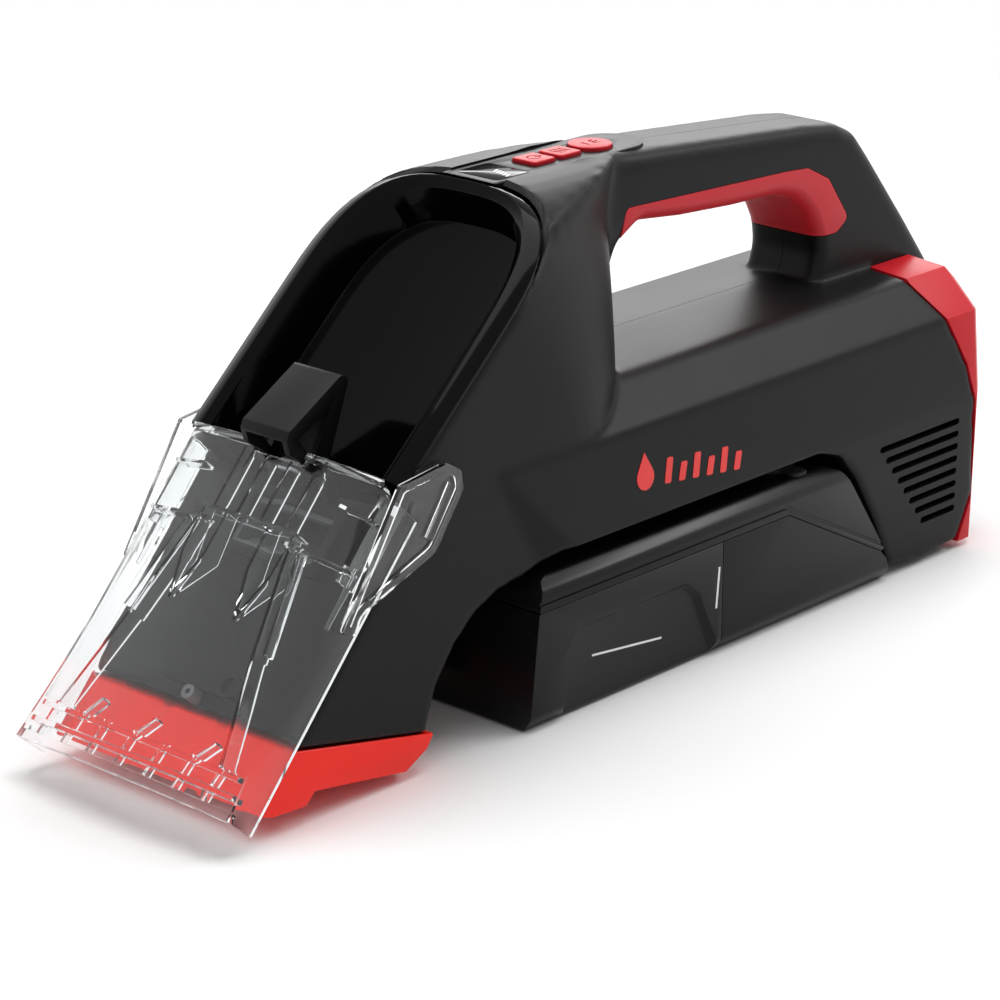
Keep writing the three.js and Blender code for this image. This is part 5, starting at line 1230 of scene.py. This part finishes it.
# ---- rear end
@dataclass
class RearEnd:
    """Red trim round the rear, black end cap and charging socket."""

    trim_end: float = 198.0
    rear: float = 205.0
    inset_end: float = 8.0
    inset_cap: float = 14.0
    thickness: float = 3.0
    socket_z: float = 24.0
    socket_radius: float = 5.0
    half: Outline = ((53, 3), (54, 62), (51, 96), (36, 110.6), (6, 113))

    def solid(self, name: str, t: float) -> Piece:
        """The rear end's outside moved inwards by t."""
        rings = []
        stops = ((140, 0), (186, 0), (self.trim_end, self.inset_end), (self.rear - t, self.inset_cap))
        for x, amount in stops:
            outline = inset(mirrored(self.half), amount + t)
            rings.append([at(x, y, z) for y, z in outline])
        return loft(name, rings)

    def build(self, palette: Palette, housing: Housing) -> None:
        """Models trim, cap and socket."""
        seam = [(x + PLAY, z) for x, z in housing.trim_seam]
        seam[0] = (seam[0][0] - 1, 0)
        trim_ring = self.solid("red_trim", 0)
        cut(trim_ring, self.solid("trim_inside", self.thickness))
        trim(trim_ring, prism("behind_seam", [*seam, (220, 119), (220, 0)], side, *WIDE))
        trim(trim_ring, slab("before_end", 0, self.trim_end))
        foot = self.handle_foot(housing)
        boolean(trim_ring, foot, "DIFFERENCE", keep=True)
        round_off(trim_ring, 0.7, 3, 20, 30)
        deliver(palette, trim_ring, Paint.RED, "machine", ["rear_trim"])
        cap = self.solid("rear_cap", 0)
        trim(cap, slab("behind_trim", self.trim_end + PLAY, 240))
        shell = self.solid("cap_shell", self.thickness + PLAY)
        trim(shell, slab("cap_region", 187, 240))
        join(cap, shell)
        hollow = self.solid("cap_hollow", self.thickness + SHELL + PLAY)
        cut(cap, hollow, foot)
        axis = [at(x, 0, self.socket_z) for x in (180, 240)]
        cut(cap, rod("socket_hole", *axis, self.socket_radius + PLAY, 40))
        round_off(cap, 0.6, 3, 20, 30)
        deliver(palette, cap, Paint.SATIN_BLACK, "machine", ["rear_cover"])
        barrel = rod(
            "charging_jack", at(189, 0, self.socket_z), at(204.4, 0, self.socket_z), self.socket_radius, 40
        )
        cut(barrel, rod("jack_well", at(194, 0, self.socket_z), at(210, 0, self.socket_z), 3.4, 32))
        join(barrel, rod("jack_pin", at(193, 0, self.socket_z), at(202, 0, self.socket_z), 0.9, 16))
        round_off(barrel, 0.3, merge=False)
        deliver(palette, barrel, Paint.GREY_PLASTIC, "machine", ["charging_socket"])

    def handle_foot(self, housing: Housing) -> Piece:
        """Room for the handle's rear foot."""
        outline = inset(rounded(housing.handle, 6, 3), -PLAY)
        bar = housing.rounded_bar("handle_room", outline, housing.handle_half_width + PLAY, 7)
        return trim(bar, block("handle_rear", (120, 240), (-80, 80), (60, 200)))


# ---- tank
@dataclass
class Tank:
    """Two-part water tank with its lid, filling stopper, level lines and front catch."""

    rear: float = 132.0
    height: float = 55.0
    half_width: float = 54.5
    split: float = 30.0
    wall: float = 2.0
    step: float = 2.5
    body_outline: Outline = ((-74, 0), (-69, 43.2), (68, 43.2), (126, 13.5), (129.5, 10), (132, 4), (132, 0))
    lid_outline: Outline = (
        (-68.8, 43.5), (-67.8, 49), (-65, 53.4), (-60, 55), (94, 55), (101, 52), (106, 46), (128.2, 14.1),
        (126, 13.8), (68.1, 43.5),
    )
    catch_pivot: Point = (-83.5, 49.5)
    groove: Outline = ((-69, 46.0), (66.5, 46.0), (127, 15.4), (127.6, 16.4), (67.2, 47.2), (-69, 47.2))
    level: Outline = ((-38.8, 19.3), (-1.2, 15.0), (-1.3, 14.2), (-38.9, 18.5))
    upright: Outline = ((26.0, 18.6), (27.0, 18.5), (28.4, 34.0), (27.4, 34.2))
    line_height: float = 0.12
    water_port: Point = (60, 40)
    fill_port: Point = (80, -34)
    recess: Outline = ((-57, -1), (-54, 26), (-48, 33), (10, 33), (17, 27), (31, -1))

    def rounded_across(self, solid: Piece) -> Piece:
        """Rounds the long edges of the tank, bottom and top."""
        w, h = self.half_width, self.height
        half = [(w - 4, 0), (w, 5), (w, h - 5), (w - 5, h + 0.01)]
        outline = rounded(mirrored(half), [3, 6, 6, 3, 3, 6, 6, 3], 5)
        return trim(solid, prism("tank_section", outline, cross, -100, 160))

    def hollow(self, low: float, high: float) -> Piece:
        """Inside of one of the two tanks."""
        outline = inset(self.body_outline, self.wall)
        outline[1] = (outline[1][0] + 1, 60)
        outline[2] = (70, 60)
        outline[3] = (128, 21)
        outline[4] = (self.rear - 2.1, 10)
        room = self.half_width - self.wall - self.step - 1
        solid = prism("tank_hollow", outline, side, -room, room)
        return trim(solid, slab("tank_bay", low, high, 100))

    def side_step(self, sign: int) -> Piece:
        """The sunk side panel with slanted walls."""
        w = self.half_width
        rings = []
        for y, amount in ((w + 1, -1.0), (w - self.step, 2.2)):
            rings.append([at(x, sign * y, z) for x, z in inset(self.recess, amount)])
        for ring in rings:
            ring[0].z = ring[-1].z = -0.002
        return loft("side_step", rings)

    def tanks(self, palette: Palette) -> None:
        """Dirty and clean tank."""
        outline = rounded(self.body_outline, [2.5, 0.6, 3, 3, 2, 2, 1], 3)
        whole = self.rounded_across(prism("tank_whole", outline, side, -80, 80))
        cut(whole, self.side_step(-1), self.side_step(1))
        for name, low, high, cad_name in (
            ("dirty_water_tank", -200.0, self.split - 0.15, "dirty_tank"),
            ("clean_water_tank", self.split + 0.15, 200.0, "clean_tank"),
        ):
            tank = copy_of(whole, name)
            trim(tank, slab("tank_part", low, high, 100))
            cut(tank, self.hollow(low + (self.wall if low > 0 else 0), high - (self.wall if low < 0 else 0)))
            round_off(tank, 0.5, 3, 26)
            deliver(palette, tank, Paint.TANK_BLACK, "tank", [cad_name])
        bpy.data.objects.remove(whole, do_unlink=True)

    def lid(self, palette: Palette) -> None:
        """Cover over both tanks with its ports and a shallow step round the side."""
        outline = rounded(self.lid_outline, [0.5, 2, 3, 5, 8, 5, 4, 1, 0.2, 2], 4)
        lid = self.rounded_across(prism("tank_cover", outline, side, -80, 80))
        inner = inset(self.lid_outline, self.wall)
        inner[0] = (inner[0][0], 38)
        inner[-1] = (70, 38)
        inner[-2] = (122, 8.5)
        inner[-3] = (126.5, 15.9)
        room = self.half_width - self.wall - self.step - 1
        cut(lid, prism("lid_hollow", inner, side, -room, room))
        cut(lid, block("suction_port", (-46, -26), (-20, 20), (35, 60)))
        cut(lid, block("air_port", (2, 22), (-14, 14), (35, 60)))
        for name, place, radius, count in (
            ("water_port", self.water_port, 3.6, 24), ("fill_port", self.fill_port, 8.3, 40),
        ):
            cut(lid, rod(name, at(*place, 30), at(*place, 70), radius, count))
        for sign in (-1, 1):
            low, high = sorted((sign * (self.half_width - 0.7), sign * (self.half_width + 1)))
            cut(lid, prism("lid_groove", self.groove, side, low, high))
        round_off(lid, 0.4, 2, 30)
        deliver(palette, lid, Paint.TANK_BLACK, "tank", ["tank_lid"])

    def lines(self, palette: Palette) -> None:
        """White level lines on the near side, one on each tank."""
        for name, outline, y in (
            ("level_line_dirty", self.level, -(self.half_width - self.step)),
            ("level_line_clean", self.upright, -self.half_width),
        ):
            line = prism(name, outline, side, y - self.line_height, y + 0.1)
            deliver(palette, line, Paint.MARK_WHITE, "tank")

    def stopper(self, palette: Palette) -> None:
        """Rubber stopper of the filling port, with a pull tab."""
        low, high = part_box("fill_cap")
        centre = (low + high) / 2
        top = high.z / MM
        x = centre.x / MM - DATUM_X
        cap = prism("fill_stopper", circle(10.6, 48, (x, -34)), plan, top - 1.7, top)
        join(cap, rod("plug", at(x, -34, low.z / MM), at(x, -34, top - 1), 7.9, 40))
        tab = rounded(rect((x - 4, x + 4), (-42, -51)), 3, 5)
        join(cap, prism("pull_tab", tab, plan, top - 1.6, top - 0.2))
        round_off(cap, 0.35)
        deliver(palette, cap, Paint.RUBBER, "cap", ["fill_cap"])

    def catch(self, palette: Palette) -> None:
        """Sprung lever in front of the tank."""
        x, z = self.catch_pivot
        outline = [
            (x - 2.5, z + 2.2), (x + 2.5, z + 2.2), (x + 9.6, z - 6), (x + 6.4, z - 34),
            (x + 2.2, z - 38), (x + 0.6, z - 36), (x + 4.6, z - 8), (x - 2.5, z - 2.5),
        ]
        lever = prism("tank_lever", rounded(outline, [1.5, 1.5, 3, 2, 1, 1, 3, 1.5], 4), side, -16, 16)
        pivot = at(x, 0, z)
        span = Vector((0, 0.05, 0))
        cut(lever, rod("lever_bore", pivot - span, pivot + span, 1.6, 20))
        round_off(lever, 0.6, 3, merge=False)
        deliver(palette, lever, Paint.SATIN_BLACK, "catch", ["tank_catch"])

    def build(self, palette: Palette) -> None:
        """Models the tank and all that rides on it."""
        self.tanks(palette)
        self.lid(palette)
        self.lines(palette)
        self.stopper(palette)
        self.catch(palette)


# ---- marks
@dataclass
class Marks:
    """Plain red sign on the near flank: a drop and slanted strokes."""

    start: float = -15.0
    height: float = 77.0
    thickness: float = 0.16

    def flank(self, x: float, z: float, lift: float) -> Vector:
        """A point on the near flank, lifted outwards."""
        return at(x, -(54 - (z - 62) * 3 / 34) - lift, z)

    def build(self, palette: Palette) -> None:
        """Models the sign as thin raised pieces."""
        angles = [0.6 - i * (math.pi + 1.2) / 14 for i in range(15)]
        drop = [(0, 9)] + [(4.6 * math.cos(angle), 4.6 * math.sin(angle)) for angle in angles]
        outlines = [[(self.start + 3 + x, self.height + 1 + z) for x, z in drop]]
        for i in range(6):
            x, z = self.start + 13 + i * 7.6, self.height - 0.8 - i * 0.9
            tall = 6.6 if i % 2 else 9.0
            stroke = [(x, z - 3), (x + 3.4, z - 3.3), (x + 5.4, z - 3.3 + tall), (x + 2, z - 3 + tall)]
            outlines.append(rounded(stroke, 0.8, 3))
        for i, outline in enumerate(outlines):
            mark = prism(f"flank_mark_{i + 1}", outline, self.flank, -0.3, self.thickness)
            deliver(palette, mark, Paint.MARK_RED, "machine")


# ---- inner works
class InnerWorks:
    """The plain solids that stay as they are: each gets its finish."""

    finishes: dict[Paint, tuple[str, ...]] = {
        Paint.RUBBER: ("nozzle_seal", "suction_seal", "air_seal", "motor_mount", "lid_gasket"),
        Paint.GREY_PLASTIC: (
            "spray_jet", "suction_duct", "air_duct", "fan_housing", "battery_tray", "water_pump",
            "float_cage", "tank_valve"
        ),
        Paint.WHITE_PLASTIC: ("fan_impeller", "float_ball"),
        Paint.BOARD_GREEN: ("switch_board", "main_board"),
        Paint.CELL_WRAP: ("battery_cell_1", "battery_cell_2", "battery_cell_3", "battery_cell_4"),
        Paint.FOAM: ("air_filter",),
        Paint.STEEL: (
            "screw_nose", "screw_cowl", "screw_deck", "screw_grip", "latch_pin", "latch_spring", "motor",
            "catch_pin"
        ),
        Paint.SILICONE: ("supply_tube", "spray_tube", "pickup_tube"),
    }

    def build(self, palette: Palette) -> None:
        """Dresses the solids."""
        for paint, names in self.finishes.items():
            for name in names:
                palette.dress(bpy.data.objects[name], paint)
            log.info("%s: %s", paint.value.name, ", ".join(names))


# ---- studio
@dataclass
class Studio:
    """Pale floor, white surroundings, soft lamps and the camera."""

    eye: tuple[float, float, float] = (-0.893, -0.800, 0.478)
    forward: tuple[float, float, float] = (0.694, 0.638, -0.332)
    lens: float = 126.5
    sensor: float = 36.0
    floor_size: float = 14.0
    shadow_reach: float = 0.5
    sky: float = 0.35
    lamps: tuple[tuple[str, tuple[float, float, float], Point, float], ...] = (
        ("sky_lamp", (0.1, 0.1, 1.7), (1.6, 1.2), 24),
        ("deck_lamp", (1.35, 1.22, 0.78), (1.5, 0.5), 12),
        ("edge_lamp", (1.2, -0.75, 1.3), (0.9, 0.25), 8),
    )

    def floor(self) -> None:
        """Large pale floor that shows pure white to the camera but keeps the shadow."""
        deselect()
        bpy.ops.mesh.primitive_plane_add(size=self.floor_size)
        floor = bpy.context.object
        floor.name = "studio_floor"
        material = bpy.data.materials.new("floor_white")
        material.use_nodes = True
        tree = material.node_tree
        shader = tree.nodes["Principled BSDF"]
        shader.inputs["Base Color"].default_value = (0.93, 0.93, 0.93, 1)
        shader.inputs["Roughness"].default_value = 0.9
        shader.inputs["Specular IOR Level"].default_value = 0.05
        glow = node(tree, "ShaderNodeEmission", Color=(1, 1, 1, 1), Strength=1.0)
        coords = tree.nodes.new("ShaderNodeTexCoord")
        away = node(tree, "ShaderNodeVectorMath", operation="LENGTH")
        fade = tree.nodes.new("ShaderNodeMapRange")
        fade.inputs["From Min"].default_value = self.shadow_reach
        fade.inputs["From Max"].default_value = self.shadow_reach * 2
        share = node(tree, "ShaderNodeMath", operation="MULTIPLY")
        mix = tree.nodes.new("ShaderNodeMixShader")
        wire(
            tree,
            (coords, "Object", away, 0), (away, "Value", fade, "Value"), (fade, "Result", share, 0),
            (self.seen_directly(tree), 0, share, 1), (share, 0, mix, 0), (shader, 0, mix, 1),
            (glow, 0, mix, 2),
            (mix, 0, tree.nodes["Material Output"], "Surface"),
        )
        floor.data.materials.append(material)

    def seen_directly(self, tree: Tree) -> bpy.types.Node:
        """A node whose result is 1 for camera, glossy and transmission rays."""
        path = tree.nodes.new("ShaderNodeLightPath")
        first = node(tree, "ShaderNodeMath", operation="MAXIMUM")
        second = node(tree, "ShaderNodeMath", operation="MAXIMUM")
        wire(
            tree,
            (path, "Is Camera Ray", first, 0), (path, "Is Transmission Ray", first, 1), (first, 0, second, 0),
            (path, "Is Glossy Ray", second, 1),
        )
        return second

    def world(self) -> None:
        """White behind the scene, softer light from all round."""
        world = bpy.data.worlds.new("studio")
        bpy.context.scene.world = world
        world.use_nodes = True
        tree = world.node_tree
        tree.nodes.clear()
        out = tree.nodes.new("ShaderNodeOutputWorld")
        white = node(tree, "ShaderNodeBackground", Color=(1, 1, 1, 1), Strength=1.0)
        soft = node(tree, "ShaderNodeBackground", Color=(1, 1, 1, 1), Strength=self.sky)
        mix = tree.nodes.new("ShaderNodeMixShader")
        mask = self.seen_directly(tree)
        wire(tree, (mask, 0, mix, 0), (soft, 0, mix, 1), (white, 0, mix, 2), (mix, 0, out, 0))

    def lamp(self, name: str, place: tuple[float, float, float], size: Point, power: float) -> None:
        """A soft area lamp aimed at the machine."""
        deselect()
        bpy.ops.object.light_add(type="AREA", location=place)
        lamp = bpy.context.object
        lamp.name = name
        lamp.data.shape = "RECTANGLE"
        lamp.data.size, lamp.data.size_y = size
        lamp.data.energy = power
        aim = Vector((0.02, 0, 0.08)) - Vector(place)
        lamp.rotation_euler = aim.to_track_quat("-Z", "Y").to_euler()

    def camera(self) -> None:
        """The camera, a long lens from the front left and above."""
        data = bpy.data.cameras.new("camera")
        camera = bpy.data.objects.new("camera", data)
        bpy.context.scene.collection.objects.link(camera)
        data.sensor_width = self.sensor
        data.lens = self.lens
        camera.location = self.eye
        camera.rotation_euler = Vector(self.forward).to_track_quat("-Z", "Y").to_euler()
        bpy.context.scene.camera = camera

    def build(self) -> None:
        """Sets up everything round the machine."""
        self.floor()
        self.world()
        for lamp in self.lamps:
            self.lamp(*lamp)
        self.camera()
        bpy.context.scene.view_settings.view_transform = "Standard"


# ---- build
def main() -> None:
    """Builds every sub-assembly in order."""
    logging.basicConfig(level=logging.INFO, format="%(name)s: %(message)s")
    palette = Palette()
    housing = Housing()
    housing.build(palette)
    Grip().build(palette, housing)
    for part in (Cowl(), Nose(), ClearNozzle(), Latch(), Controls()):
        part.build(palette)
    RearEnd().build(palette, housing)
    for part in (Tank(), Marks(), InnerWorks()):
        part.build(palette)
    Studio().build()


if __name__ == "__main__":
    main()
